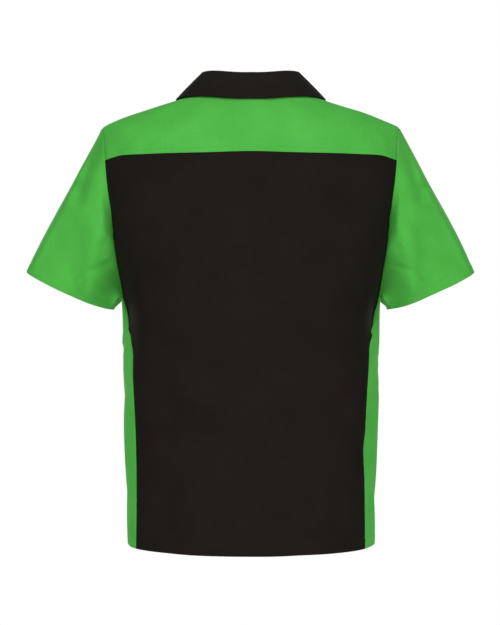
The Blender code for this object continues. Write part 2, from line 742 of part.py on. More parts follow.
# ================================================================ buttons
def button(name, height, collection):
    """A turned button with a rim, standing on the placket."""
    seat = centre_front(height)
    up = centre_front(height + BUTTON_RADIUS) - seat
    out = Vector((1, 0, 0)).cross(up).normalized()
    profile = (
        (0.0, 0.62 * BUTTON_THICKNESS),
        (0.52 * BUTTON_RADIUS, 0.62 * BUTTON_THICKNESS),
        (0.70 * BUTTON_RADIUS, BUTTON_THICKNESS),
        (0.90 * BUTTON_RADIUS, BUTTON_THICKNESS),
        (BUTTON_RADIUS, 0.70 * BUTTON_THICKNESS),
        (0.97 * BUTTON_RADIUS, 0.25 * BUTTON_THICKNESS),
        (0.75 * BUTTON_RADIUS, 0.0),
        (0.0, 0.0),
    )
    mesh = bmesh.new()
    points = [mesh.verts.new((radius, 0, depth)) for radius, depth in profile]
    edges = [mesh.edges.new(pair) for pair in zip(points, points[1:])]
    bmesh.ops.spin(
        mesh,
        geom=points + edges,
        axis=(0, 0, 1),
        cent=(0, 0, 0),
        angle=2 * math.pi,
        steps=BUTTON_SIDES,
        use_merge=True,
    )
    bmesh.ops.remove_doubles(mesh, verts=mesh.verts, dist=1e-6)
    bmesh.ops.recalc_face_normals(mesh, faces=mesh.faces)
    made = node(name, mesh, BLACK_PLASTIC, collection)
    made.rotation_mode = "QUATERNION"
    made.rotation_quaternion = out.to_track_quat("Z", "Y")
    made.location = seat + out * (on_the_left_front(seat) + LAYER_GAP)


def centre_front(height):
    """The skin's point at the centre front at this height."""
    if height < FRONT_CHEST_LINE:
        return Vector((0, section_y(0, height, -1), height))
    top = RIDGE[0].height
    sine = ((height - FRONT_CHEST_LINE) / (top - FRONT_CHEST_LINE)) ** (1 / FRONT_LEAN)
    return shoulder_point(0, math.asin(sine), -1)


def main():
    for old in list(bpy.data.objects):
        bpy.data.objects.remove(old)
    collection = bpy.data.collections.new("work_shirt")
    bpy.context.scene.collection.children.link(collection)
    skin = make_skin()
    shirt_pieces(skin, collection)
    skin.free()
    collar(collection)
    for number in range(BUTTON_COUNT):
        button(f"button_{number + 1}", TOP_BUTTON - number * BUTTON_PITCH, collection)


main()
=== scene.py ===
import math
import random
from collections import namedtuple

import bmesh
import bpy
import numpy as np
from mathutils import Matrix, Vector


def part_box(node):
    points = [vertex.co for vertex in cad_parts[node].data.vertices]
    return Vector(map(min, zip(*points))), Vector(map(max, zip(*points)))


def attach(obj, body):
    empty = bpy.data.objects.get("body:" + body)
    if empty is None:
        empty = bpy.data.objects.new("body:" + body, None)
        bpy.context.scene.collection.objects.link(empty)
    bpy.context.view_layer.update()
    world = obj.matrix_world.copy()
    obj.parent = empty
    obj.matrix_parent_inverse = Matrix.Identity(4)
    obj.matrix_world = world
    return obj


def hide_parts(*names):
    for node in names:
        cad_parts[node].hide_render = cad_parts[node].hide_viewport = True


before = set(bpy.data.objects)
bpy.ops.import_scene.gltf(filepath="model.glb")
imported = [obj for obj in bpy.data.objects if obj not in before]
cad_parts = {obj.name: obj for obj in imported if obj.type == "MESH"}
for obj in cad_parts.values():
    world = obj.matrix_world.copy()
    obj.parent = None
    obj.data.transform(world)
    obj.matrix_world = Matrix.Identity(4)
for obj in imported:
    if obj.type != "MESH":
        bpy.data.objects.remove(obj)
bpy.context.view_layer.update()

# ================================================================ the filled-out form
# The shirt as it hangs filled out with nobody in it: a boxy round body that leans in to sloping
# shoulders, and two short sleeves. It is the solids' form, drawn finer and higher in the armpits.
# Every panel is a grid of points on it, and neighbours share their points and normals at a seam.

# A section's edges are where the side panel's two seams, and higher up the armhole's, lie in x.
Section = namedtuple("Section", "height half_width back_depth front_depth back_edge front_edge")
SECTIONS = (
    Section(-0.7632, 0.2090, 0.1470, 0.1360, 0.1890, 0.1797),
    Section(-0.692, 0.2120, 0.1460, 0.1370, 0.1888, 0.1802),
    Section(-0.590, 0.2150, 0.1440, 0.1390, 0.1895, 0.1817),
    Section(-0.467, 0.2176, 0.1460, 0.1420, 0.1952, 0.1860),
    Section(-0.386, 0.2190, 0.1490, 0.1450, 0.2066, 0.1982),
    Section(-0.343, 0.2218, 0.1500, 0.1460, 0.2192, 0.2140),
    Section(-0.305, 0.2292, 0.1493, 0.1448, 0.2240, 0.2070),
    Section(-0.260, 0.2425, 0.1460, 0.1411, 0.2280, 0.2030),
    Section(-0.205, 0.2556, 0.1403, 0.1322, 0.2336, 0.2070),
    Section(-0.155, 0.2630, 0.1328, 0.1190, 0.2396, 0.2190),
    Section(-0.123, 0.2660, 0.1265, 0.1080, 0.2426, 0.2270),
)
ROUNDNESS = 2.15
HEM = SECTIONS[0].height
ARMPIT = SECTIONS[5].height
ARMHOLE_HEAD = SECTIONS[-1].height
UNDERARM_DIP = 0.002  # how far the armhole hangs down between the side panel's seams
Ridge = namedtuple("Ridge", "x height")
RIDGE = (
    Ridge(0.000, 0.0070),
    Ridge(0.050, 0.0050),
    Ridge(0.083, 0.0000),
    Ridge(0.137, -0.0180),
    Ridge(0.185, -0.0325),
    Ridge(0.226, -0.0478),
    Ridge(0.2465, -0.0570),
    Ridge(0.2524, -0.0613),
)
SHOULDER_TIP = RIDGE[-1].x
BACK_YOKE_SEAM = -0.1145
BACK_YOKE_RISE = 0.0018
BACK_YOKE_DROP = 0.0068
BACK_YOKE_DROP_FROM = 0.209
FRONT_CHEST_LINE = -0.130
FRONT_YOKE_ANGLE = math.radians(56)
FRONT_LEAN = 1.8
NECK_HALF = 0.083
NECK_BACK = 0.064
NECK_FRONT = 0.074
OVERLAP = 0.016  # each front runs this far past the centre
CUFF_CENTRE = np.array((0.3118, -0.030, -0.3370))
CUFF_HALF_WIDTH = 0.0805
CUFF_HALF_DEPTH = 0.0450
CUFF_TILT = math.radians(25.0)
ARM_FORWARD = math.radians(6)
SLEEVE_BULGE = 0.009
OUTER_BULGE = 0.0030
CUFF_CURL = 0.030  # how far the cuff's inner end bends forward

# The grids: even steps, with finer lines beside the hems and seams so that they can be moulded.
ROW_STEP = 0.0040
COLUMN_STEP = 0.0032
SLEEVE_STEP = 0.0030
SEAM_LINES = (0.0004, 0.0011, 0.0020, 0.0032, 0.0048, 0.0064, 0.0078, 0.0095)
HEM_LINES = (0.0003, 0.0009, 0.0022, 0.0060, 0.0100, 0.0140, 0.0165, 0.0178, 0.0188, 0.0198, 0.0210)
NECK_SHARE = 4 / 9  # of the back's half width, up to the neck's edge
FRONT_NECK_SHARE = 3 / 8  # of the front from the overlap outwards
NECK_LINES = 30
OVERLAP_LINES = 6
# The lengths that the steps are counted on. A grid stretches to its panel's real one.
YOKE_RISE = 0.135
FRONT_YOKE_RISE = 0.070
CHEST_RISE = 0.080
SHOULDER_RUN = 0.165
SIDE_WIDTH = 0.156
SLEEVE_LENGTH = 0.210
ARC_STEPS = 200  # for measuring round a section
HALVINGS = 40
SAME_POINT = 2e-5  # closer than this, two panels' points are one


def spread(length, step, near_start=(), near_end=()):
    """Places along a length, as shares of it: even steps, and closer lines near its ends."""
    start = [0.0, *near_start]
    end = [length - distance for distance in (*reversed(near_end), 0.0)]
    count = max(1, round((end[0] - start[-1]) / step))
    inner = np.linspace(start[-1], end[0], count + 1)
    return np.array([*start[:-1], *inner, *end[1:]]) / length


def smooth(t):
    """From 0 to 1 with level ends."""
    t = np.clip(t, 0.0, 1.0)
    return t * t * (3 - 2 * t)


def mix(a, b, t):
    return a + (b - a) * t


def read(table, column, place, by="height"):
    """A column of a table at each place, on a smooth curve through its rows with no overshoot."""
    places = np.array([getattr(row, by) for row in table])
    values = np.array([getattr(row, column) for row in table])
    steps = np.diff(places)
    slopes = np.diff(values) / steps
    product, total = slopes[:-1] * slopes[1:], slopes[:-1] + slopes[1:]
    inner = np.where(product > 0, 2 * product / np.where(product > 0, total, 1.0), 0.0)
    tangents = np.concatenate([slopes[:1], inner, slopes[-1:]])
    place = np.clip(place, places[0], places[-1])
    i = np.clip(np.searchsorted(places, place, side="right") - 1, 0, len(steps) - 1)
    t = (place - places[i]) / steps[i]
    return (
        values[i] * (1 + 2 * t) * (1 - t) ** 2
        + tangents[i] * steps[i] * t * (1 - t) ** 2
        + values[i + 1] * t * t * (3 - 2 * t)
        + tangents[i + 1] * steps[i] * t * t * (t - 1)
    )


def points_at(x, y, z):
    return np.stack(np.broadcast_arrays(x, y, z), axis=-1)


def section_y(x, height, facing):
    """How far the body reaches back (facing 1) or to the front (facing -1) at x."""
    half_width = read(SECTIONS, "half_width", height)
    depth = read(SECTIONS, "back_depth" if facing > 0 else "front_depth", height)
    share = np.minimum(np.abs(x) / half_width, 1.0)
    return facing * depth * (1 - share**ROUNDNESS) ** (1 / ROUNDNESS)


def chest_height(x, facing):
    """The height where the body's wall starts to lean in towards the shoulder line."""
    if facing < 0:
        return np.full_like(x, FRONT_CHEST_LINE)
    run = SHOULDER_TIP - BACK_YOKE_DROP_FROM
    rise = BACK_YOKE_RISE * smooth(1 - np.abs(x) / NECK_HALF)
    return BACK_YOKE_SEAM + rise - BACK_YOKE_DROP * smooth((np.abs(x) - BACK_YOKE_DROP_FROM) / run)


def lean(x, facing):
    """The power that makes the front's curve over the chest line fuller than the back's."""
    return 1.0 if facing > 0 else mix(FRONT_LEAN, 1.0, smooth(np.abs(x) / SHOULDER_TIP))


def shoulder_point(x, angle, facing):
    """A point over the chest line: angle is 0 there and 90 degrees on the shoulder line."""
    foot = chest_height(x, facing)
    top = read(RIDGE, "height", np.abs(x), by="x")
    power = lean(x, facing)
    y = section_y(x, foot, facing) * np.cos(angle).clip(0) ** power
    return points_at(x, y, mix(foot, top, np.sin(angle) ** power))


def shoulder_angle(x, y, facing):
    """The angle at which shoulder_point lies at this x and y."""
    reach = np.abs(section_y(x, chest_height(x, facing), facing))
    return np.arccos(np.minimum(1.0, (np.abs(y) / reach) ** (1 / lean(x, facing))))


def neck_plan(turn):
    """The neckline from above: turn is 0 at the centre back and 180 degrees at the front."""
    depth = np.where(np.cos(turn) > 0, NECK_BACK, NECK_FRONT)
    return NECK_HALF * np.sin(turn), depth * np.cos(turn)


def neck_angle(turn):
    """The shoulder angle along the neckline."""
    x, y = neck_plan(turn)
    return np.where(y >= 0, shoulder_angle(x, y, 1), shoulder_angle(x, y, -1))


def yoke_corner():
    """The turn where the front yoke seam meets the neckline, found by halving."""
    low, high = math.pi / 2, math.pi
    for _ in range(HALVINGS):
        middle = (low + high) / 2
        if neck_angle(np.array(middle)) > FRONT_YOKE_ANGLE:
            low = middle
        else:
            high = middle
    return low


def columns(level, facing, shares, first=0.0):
    """x in each row at these shares of the way round from first to the panel's edge."""
    edge = read(SECTIONS, "back_edge" if facing > 0 else "front_edge", level)
    x = first + (edge[:, None] - first) * np.linspace(0, 1, ARC_STEPS + 1)
    y = section_y(x, level[:, None], facing)
    run = np.hypot(np.diff(x), np.diff(y)).cumsum(axis=1)
    run = np.pad(run, ((0, 0), (1, 0)))
    return np.array([np.interp(shares * r[-1], r, row) for r, row in zip(run, x)])


def fan(bottom_x, top_x, top_angle, rows, facing):
    """Points from the chest line up to a top edge, column by column."""
    share = rows[:, None]
    return shoulder_point(mix(bottom_x, top_x, share), top_angle * share, facing)


def stack(*grids):
    """Grids on top of each other that share a row."""
    return np.vstack([grids[0], *(grid[1:] for grid in grids[1:])])


def mirrored(points):
    return points * (-1, 1, 1)


lower_rows = spread(ARMPIT - HEM, ROW_STEP, near_start=HEM_LINES)
upper_rows = spread(ARMHOLE_HEAD - ARMPIT, ROW_STEP, near_end=SEAM_LINES)
yoke_rows = spread(YOKE_RISE, ROW_STEP, near_start=SEAM_LINES)
front_yoke_rows = spread(FRONT_YOKE_RISE, ROW_STEP, near_start=SEAM_LINES)
chest_rows = spread(CHEST_RISE, ROW_STEP, near_end=SEAM_LINES)
neck_columns = np.linspace(0, 1, NECK_LINES)
ridge_columns = spread(SHOULDER_RUN, COLUMN_STEP, near_end=SEAM_LINES)
side_columns = spread(SIDE_WIDTH, COLUMN_STEP, near_start=SEAM_LINES, near_end=SEAM_LINES)
overlap_columns = np.linspace(0, 1, OVERLAP_LINES + 1)[:-1]
sleeve_rows = spread(SLEEVE_LENGTH, SLEEVE_STEP, near_start=SEAM_LINES, near_end=HEM_LINES)
back_shares = np.concatenate([NECK_SHARE * neck_columns, mix(NECK_SHARE, 1, ridge_columns[1:])])
front_shares = np.concatenate(
    [FRONT_NECK_SHARE * neck_columns, mix(FRONT_NECK_SHARE, 1, ridge_columns[1:])]
)


def body_x(level, facing):
    """x of one half's points, row by row."""
    if facing > 0:
        return columns(level, 1, back_shares)
    overlap = np.tile(OVERLAP * overlap_columns, (len(level), 1))
    return np.hstack([overlap, columns(level, -1, front_shares, first=OVERLAP)])


def body_half(facing):
    """One half of the back or front, from the hem up to the chest line."""
    level = mix(HEM, ARMPIT, lower_rows)
    x = body_x(level, facing)
    lower = points_at(x, section_y(x, level[:, None], facing), level[:, None])
    x = body_x(mix(ARMPIT, ARMHOLE_HEAD, upper_rows), facing)
    height = mix(ARMPIT, chest_height(x, facing), upper_rows[:, None])
    return lower, points_at(x, section_y(x, height, facing), height)


def side_half(back_seam, front_seam):
    """The side panel under the arm, from its back seam to its front seam."""
    level = mix(HEM, ARMPIT, lower_rows)
    ends = []
    for seam, depth in ((back_seam, "back_depth"), (front_seam, "front_depth")):
        reach = np.abs(seam[:, 1]) / read(SECTIONS, depth, level)
        ends.append(np.arcsin(reach ** (ROUNDNESS / 2)))
    angle = mix(ends[0][:, None], -ends[1][:, None], side_columns)
    x = read(SECTIONS, "half_width", level)[:, None] * np.cos(angle) ** (2 / ROUNDNESS)
    back, front = (section_y(x, level[:, None], facing) for facing in (1, -1))
    dip = UNDERARM_DIP * np.sin(math.pi * side_columns) * lower_rows[:, None] ** 4
    points = points_at(x, np.where(angle >= 0, back, front), level[:, None] - dip)
    points[:, 0], points[:, -1] = back_seam, front_seam
    return points


def front_yoke_half(corner):
    """The yoke in front of the shoulder line, from its seam up."""
    angle = mix(FRONT_YOKE_ANGLE, math.pi / 2, front_yoke_rows)[:, None]
    turn = mix(corner, math.pi / 2, front_yoke_rows)[:, None]
    foot = read(SECTIONS, "front_edge", ARMHOLE_HEAD)
    outer_x = mix(foot, SHOULDER_TIP, np.sin(angle))
    x = mix(neck_plan(turn)[0], outer_x, ridge_columns)
    return shoulder_point(x, mix(neck_angle(turn), angle, ridge_columns), -1)


def sleeve_half(armhole, lowest):
    """Closed rings from the armhole down to the cuff."""
    closed = np.vstack([armhole, armhole[:1]])
    run = np.concatenate([[0.0], np.linalg.norm(np.diff(closed, axis=0), axis=1).cumsum()])
    half = run[lowest]
    angle = np.where(run <= half, run / half, 1 + (run - half) / (run[-1] - half)) * math.pi
    across = np.array((math.cos(CUFF_TILT), 0, math.sin(CUFF_TILT)))
    down = np.array((math.sin(CUFF_TILT), 0, -math.cos(CUFF_TILT)))
    back = np.array((0, math.cos(ARM_FORWARD), 0)) + down * math.sin(ARM_FORWARD)
    cosine, sine = np.cos(angle)[:, None], np.sin(angle)[:, None]
    curl = CUFF_CURL * ((1 - cosine) / 2) ** 4
    cuff = CUFF_CENTRE + across * CUFF_HALF_WIDTH * cosine + back * (CUFF_HALF_DEPTH * sine - curl)
    share = sleeve_rows[:, None, None]
    bulge = SLEEVE_BULGE * np.sin(math.pi * share) * sine * back
    bulge = bulge + OUTER_BULGE * np.sin(math.pi * share**2) * cosine.clip(0) * across
    return mix(closed, cuff, share) + bulge


corner_turn = yoke_corner()
lower_back, upper_back = body_half(1)
lower_front, upper_front = body_half(-1)
side = side_half(lower_back[:, -1], lower_front[:, -1])
neck_turns = math.pi / 2 * neck_columns[:-1]
ridge_x = mix(NECK_HALF, SHOULDER_TIP, ridge_columns)
yoke_back = fan(
    upper_back[-1, :, 0],
    np.concatenate([neck_plan(neck_turns)[0], ridge_x]),
    np.concatenate([neck_angle(neck_turns), np.full_like(ridge_x, math.pi / 2)]),
    yoke_rows,
    1,
)
yoke_front = front_yoke_half(corner_turn)
overlap_turns = math.pi - np.arcsin(OVERLAP * overlap_columns / NECK_HALF)
front_neck_turns = mix(math.pi - math.asin(OVERLAP / NECK_HALF), corner_turn, neck_columns[:-1])
front_turns = np.concatenate([overlap_turns, front_neck_turns])
seam_x = yoke_front[0, :, 0]
chest = fan(
    upper_front[-1, :, 0],
    np.concatenate([neck_plan(front_turns)[0], seam_x]),
    np.concatenate([neck_angle(front_turns), np.full_like(seam_x, FRONT_YOKE_ANGLE)]),
    chest_rows,
    -1,
)
down_the_back = np.vstack([yoke_back[::-1, -1], upper_back[::-1, -1][1:]])
up_the_front = stack(upper_front[:, -1], chest[:, -1], yoke_front[:, -1])
armhole = np.vstack([down_the_back, side[-1, 1:], up_the_front[1:-1]])
sleeve = sleeve_half(armhole, len(down_the_back) - 1 + len(side_columns) // 2)

back_half = stack(lower_back, upper_back)
front_half = stack(lower_front, upper_front, chest)
panels = {  # rows run upwards, and columns the way that makes the faces point out
    "back": np.hstack([back_half[:, ::-1], mirrored(back_half)[:, 1:]]),
    "front": np.hstack([mirrored(front_half)[:, ::-1], front_half[:, 1:]]),
    "side_left": side[:, ::-1],
    "side_right": mirrored(side),
    "yoke": np.hstack([yoke_back[:, ::-1], mirrored(yoke_back)[:, 1:]]),
    "yoke_front_left": yoke_front,
    "yoke_front_right": mirrored(yoke_front)[:, ::-1],
    "sleeve_left": sleeve[:, ::-1],
    "sleeve_right": mirrored(sleeve),
}


def skin_normals(grids):
    """Every grid's normals, the same for two grids where they share a point."""
    points = np.concatenate([grid.reshape(-1, 3) for grid in grids.values()])
    _, ids = np.unique(np.round(points / SAME_POINT).astype(int), axis=0, return_inverse=True)
    ids = ids.ravel()
    total = np.zeros((ids.max() + 1, 3))
    start, places = 0, {}
    for name, grid in grids.items():
        count = grid.shape[0] * grid.shape[1]
        place = ids[start : start + count].reshape(grid.shape[:2])
        start += count
        facing = np.cross(grid[1:, 1:] - grid[:-1, :-1], grid[1:, :-1] - grid[:-1, 1:])
        for corner in (place[:-1, :-1], place[1:, :-1], place[:-1, 1:], place[1:, 1:]):
            np.add.at(total, corner, facing)
        places[name] = place
    total /= np.linalg.norm(total, axis=1)[:, None]
    return {name: total[place] for name, place in places.items()}


# ---------------------------------------------------------------- folds
# The soft troughs that the solids have, and the smaller creases between them. Both are seen and
# pushed in straight on from one side: across is x on the back and front, and y on the left and
# right. A depth below zero is a swell.
FOLD_FACING = 1.5  # it has its full depth where the cloth's normal leans 1 / 1.5 that way or more
LIP_PLACE = 1.5  # the lip lies this many widths from the crease's middle,
LIP_NARROWING = 1.5  # and is this many times narrower than that
SIDES = {  # the way out of each side, and which coordinate is across
    "back": (np.array((0.0, 1.0, 0.0)), 0),
    "front": (np.array((0.0, -1.0, 0.0)), 0),
    "left": (np.array((1.0, 0.0, 0.0)), 1),
    "right": (np.array((-1.0, 0.0, 0.0)), 1),
}
Tuck = namedtuple("Tuck", "facing height tall inner outer depth reach fall")
TUCKS = (  # where the cloth is drawn in along both armholes, on the back (facing 1) and the front
    Tuck(1, -0.235, 0.05, 0.006, 0.0045, 0.009, 0.075, 1),
    Tuck(1, -0.35, 0.055, 0.018, 0.019, 0.037, 0.086, 1),
    Tuck(-1, -0.23, 0.055, 0.006, 0.005, 0.007, 0.04, 1),
    Tuck(-1, -0.345, 0.055, 0.018, 0.019, 0.015, 0.036, 1),
    # drawn in closer by the seam itself
    Tuck(1, -0.207, 0.042, 0.005, 0.009, 0.0075, 0.075, 2),
    Tuck(1, -0.342, 0.05, 0.009, 0.016, 0.0165, 0.13, 2),
    Tuck(-1, -0.325, 0.05, 0.009, 0.013, 0.006, 0.07, 2),
)
TUCK_MIDDLE = -0.034  # y where the tucks of the back and the front fade out, each over its reach
FOLDS = (  # straight and even: side, across and height at both ends, width, depth
    # from the shoulder tip down each sleeve
    ("back", 0.264, -0.088, 0.289, -0.178, 0.014, 0.012),
    ("back", -0.264, -0.088, -0.285, -0.18, 0.014, 0.008),
    ("front", 0.248, -0.09, 0.268, -0.2, 0.016, 0.0055),
    ("front", -0.25, -0.085, -0.262, -0.195, 0.015, 0.006),
    # a swell down each sleeve beside the armpit
    ("back", 0.256, -0.245, 0.272, -0.33, 0.021, -0.013),
    ("back", -0.256, -0.245, -0.272, -0.33, 0.021, -0.013),
    ("front", 0.256, -0.24, 0.272, -0.33, 0.024, -0.007),
    ("front", -0.256, -0.24, -0.272, -0.33, 0.024, -0.007),
    # from each armpit down to the cuff's inner corner
    ("front", 0.234, -0.305, 0.245, -0.362, 0.014, 0.004),
    ("front", -0.234, -0.31, -0.244, -0.362, 0.014, 0.004),
    # across each sleeve over its hem
    ("back", 0.245, -0.295, 0.3, -0.312, 0.012, 0.003),
    ("back", -0.245, -0.29, -0.305, -0.31, 0.012, 0.003),
    # down the back from the shoulder blades
    ("back", 0.062, -0.33, 0.04, -0.7, 0.04, 0.0035),
    ("back", -0.095, -0.42, -0.08, -0.763, 0.038, 0.0035),
    ("back", 0.15, -0.38, 0.135, -0.763, 0.03, 0.004),
    ("back", -0.16, -0.33, -0.15, -0.64, 0.026, 0.0035),
    # down the front from the chest
    ("front", 0.09, -0.3, 0.075, -0.763, 0.036, 0.0045),
    ("front", -0.1, -0.33, -0.085, -0.763, 0.036, 0.004),
    ("front", 0.16, -0.35, 0.15, -0.68, 0.028, 0.004),
    ("front", -0.165, -0.33, -0.15, -0.7, 0.028, 0.0035),
    # slanting over the side panels
    ("left", 0.06, -0.44, -0.02, -0.56, 0.02, 0.003),
    ("left", -0.07, -0.5, 0.03, -0.7, 0.022, 0.003),
    ("right", 0.055, -0.43, -0.04, -0.52, 0.02, 0.003),
    ("right", 0.07, -0.6, -0.01, -0.72, 0.022, 0.003),
)
# A crease's two widths are those of its slopes towards less and more of across, or of height where
# it runs level. Its bend bows it, and its lip raises a ridge beside it.
Crease = namedtuple("Crease", "side across0 height0 across1 height1 bend low high depth0 depth1 lip")
CREASES = (  # rows of Crease
    # swells under the shoulder tips, beside the folds there, and streaks on the front
    ("back", 0.276, -0.104, 0.29, -0.14, 0, 0.008, 0.012, -0.003, -0.0075, 0),
    ("back", -0.276, -0.108, -0.288, -0.145, 0, 0.012, 0.009, -0.003, -0.005, 0),
    ("back", 0.274, -0.11, 0.285, -0.145, 0, 0.006, 0.01, -0.0012, -0.0032, 0),
    ("back", -0.276, -0.115, -0.283, -0.148, 0, 0.01, 0.007, -0.0006, -0.0016, 0),
    ("front", 0.248, -0.085, 0.26, -0.175, 0.002, 0.01, 0.006, 0.001, 0.0045, 0.3),
    ("front", -0.25, -0.09, -0.266, -0.165, -0.002, 0.007, 0.011, 0.0008, 0.0045, -0.3),
    # swells along the sleeves' outer edges and over their hems, which lie flatter than a tube
    ("back", 0.306, -0.172, 0.3715, -0.292, 0, 0.011, 0.011, -0.006, -0.007, 0),
    ("back", -0.306, -0.172, -0.3715, -0.292, 0, 0.011, 0.011, -0.006, -0.007, 0),
    ("back", 0.268, -0.335, 0.274, -0.352, 0, 0.017, 0.02, -0.005, -0.007, 0),
    ("back", -0.268, -0.335, -0.274, -0.352, 0, 0.02, 0.017, -0.005, -0.007, 0),
    # beside the armholes
    ("back", 0.242, -0.178, 0.233, -0.24, 0.0005, 0.005, 0.006, 0.001, 0.0034, 0.3),
    ("back", -0.242, -0.172, -0.233, -0.24, -0.0005, 0.006, 0.005, 0.001, 0.0034, -0.3),
    # arcs that run out over the sleeves from the armpits
    ("back", 0.24, -0.289, 0.287, -0.304, -0.004, 0.008, 0.004, 0.003, 0.0006, 0.6),
    ("back", 0.279, -0.319, 0.312, -0.33, -0.003, 0.006, 0.0036, 0.0024, 0.0005, 0.6),
    ("back", -0.242, -0.293, -0.302, -0.306, -0.004, 0.008, 0.004, 0.0028, 0.0006, 0.6),
    ("back", -0.279, -0.322, -0.31, -0.331, -0.003, 0.006, 0.0036, 0.0022, 0.0005, 0.6),
    ("back", 0.24, -0.255, 0.264, -0.268, -0.003, 0.008, 0.005, 0.0016, 0.0003, 0.3),
    ("back", -0.24, -0.262, -0.27, -0.272, -0.003, 0.008, 0.005, 0.0016, 0.0003, 0.3),
    ("front", 0.228, -0.286, 0.29, -0.3, -0.004, 0.008, 0.005, 0.0028, 0.0006, 0.5),
    ("front", -0.226, -0.28, -0.285, -0.3, -0.004, 0.008, 0.005, 0.0028, 0.0006, 0.5),
    # dimples in the yoke beside the armholes
    ("back", 0.225, -0.078, 0.22, -0.112, 0.001, 0.009, 0.009, 0.0006, 0.0012, 0.3),
    ("back", -0.206, -0.088, -0.218, -0.114, 0.001, 0.01, 0.01, 0.0008, 0.0012, 0.3),
    ("back", 0.17, -0.07, 0.176, -0.112, 0.001, 0.014, 0.014, 0.0003, 0.0008, 0.2),
    ("back", -0.15, -0.075, -0.158, -0.113, 0.001, 0.014, 0.014, 0.0003, 0.0008, 0.2),
    # slanting down the side panels
    ("back", 0.203, -0.495, 0.184, -0.59, 0.003, 0.008, 0.005, 0.003, 0.001, 0.3),
    ("back", -0.204, -0.535, -0.196, -0.6, -0.002, 0.005, 0.008, 0.003, 0.001, -0.3),
    ("back", -0.206, -0.44, -0.2, -0.47, 0.001, 0.008, 0.008, 0.0016, 0.001, -0.3),
    ("back", -0.199, -0.69, -0.204, -0.73, 0.001, 0.008, 0.008, 0.0016, 0.001, -0.3),
    ("left", 0.044, -0.415, -0.03, -0.48, 0.008, 0.011, 0.007, 0.003, 0.0008, 0.4),
    ("left", -0.07, -0.38, 0.01, -0.45, 0.008, 0.011, 0.007, 0.0028, 0.0006, 0.4),
    ("right", 0.042, -0.405, -0.02, -0.47, 0.008, 0.011, 0.007, 0.0028, 0.0008, 0.4),
    ("right", -0.072, -0.4, 0.02, -0.5, 0.01, 0.011, 0.007, 0.003, 0.0006, 0.4),
    # from the armpits into the back and fronts
    ("back", 0.214, -0.335, 0.15, -0.42, 0.012, 0.014, 0.009, 0.0022, 0.0003, 0.3),
    ("back", -0.214, -0.34, -0.156, -0.44, -0.012, 0.009, 0.014, 0.0022, 0.0003, -0.3),
    ("front", 0.205, -0.33, 0.135, -0.4, 0.01, 0.014, 0.009, 0.0026, 0.0004, 0.4),
    ("front", -0.205, -0.325, -0.14, -0.41, -0.01, 0.009, 0.014, 0.0026, 0.0004, -0.4),
    ("front", 0.19, -0.2, 0.13, -0.15, -0.006, 0.012, 0.012, 0.0016, 0.0003, 0.3),
    ("front", -0.19, -0.19, -0.125, -0.15, 0.006, 0.012, 0.012, 0.0016, 0.0003, 0.3),
    # between the buttons
    ("front", 0.02, -0.25, 0.095, -0.23, 0.006, 0.013, 0.009, 0.0014, 0.0003, 0.3),
    ("front", 0.02, -0.46, 0.1, -0.48, -0.006, 0.013, 0.009, 0.0014, 0.0003, 0.3),
    ("front", -0.02, -0.35, -0.09, -0.37, -0.006, 0.013, 0.009, 0.0014, 0.0003, 0.3),
    ("front", -0.02, -0.58, -0.1, -0.56, 0.006, 0.013, 0.009, 0.0012, 0.0003, 0.3),
)


def tuck_push(points, _normals):
    """How the tucks move the points."""
    push = np.zeros_like(points)
    for tuck in TUCKS:
        seam = read(SECTIONS, "back_edge" if tuck.facing > 0 else "front_edge", points[..., 2])
        off = np.abs(points[..., 0]) - seam
        across = np.where(off < 0, (off / tuck.inner) ** 2, np.abs(off / tuck.outer) ** tuck.fall)
        away = across + ((points[..., 2] - tuck.height) / tuck.tall) ** 2
        fade = smooth((points[..., 1] - TUCK_MIDDLE) * tuck.facing / tuck.reach)
        push[..., 1] -= tuck.facing * tuck.depth * fade * np.exp(-away)
    return push


def seen_from(side, points, normals):
    """The way out of a side, how squarely the points face it, and where they lie as seen there."""
    out, across = SIDES[side]
    seen = np.stack([points[..., across], points[..., 2]], axis=-1)
    return out, smooth(normals @ out * FOLD_FACING), seen


def crease_push(points, normals, creases=CREASES):
    """How creases and their lips move the points."""
    push = np.zeros_like(points)
    for crease in map(Crease._make, creases):
        out, facing, seen = seen_from(crease.side, points, normals)
        start = np.array((crease.across0, crease.height0))
        line = np.array((crease.across1, crease.height1)) - start
        length = np.linalg.norm(line)
        line /= length
        square = np.array((-line[1], line[0]))
        square *= np.sign(square.sum())
        away = seen - start
        run, off = away @ line, away @ square
        share = np.clip(run / length, 0, 1)
        off = off - 4 * crease.bend * share * (1 - share)
        width = np.where(off < 0, crease.low, crease.high)
        beyond = (run - share * length) / (crease.low + crease.high) * 2
        edge = LIP_PLACE * (crease.high if crease.lip > 0 else -crease.low)
        ridge = abs(crease.lip) * np.exp(-(((off - edge) / edge * LIP_NARROWING) ** 2))
        trough = np.exp(-((off / width) ** 2)) - ridge
        depth = mix(crease.depth0, crease.depth1, share) * np.exp(-(beyond**2))
        push -= (depth * facing * trough)[..., None] * out
    return push


def fold_push(points, normals):
    """How the large folds move the points."""
    even = [(*ends, 0, width, width, depth, depth, 0) for *ends, width, depth in FOLDS]
    return crease_push(points, normals, even)


# Broad, faint unevenness, steeper across the cloth than down it, as it hangs.
WAVE_COUNT = 12
WAVE_HEIGHT = 0.00022
WAVE_PITCH = (0.060, 0.170)
WAVE_RISE = 0.35  # the most that a wave's way leans up or down
waver = random.Random(7)
WAVES = [
    (
        np.array((math.cos(turn), math.sin(turn), waver.uniform(-WAVE_RISE, WAVE_RISE))),
        2 * math.pi / waver.uniform(*WAVE_PITCH),
        waver.uniform(0, 2 * math.pi),
    )
    for turn in (waver.uniform(0, math.pi) for _ in range(WAVE_COUNT))
]


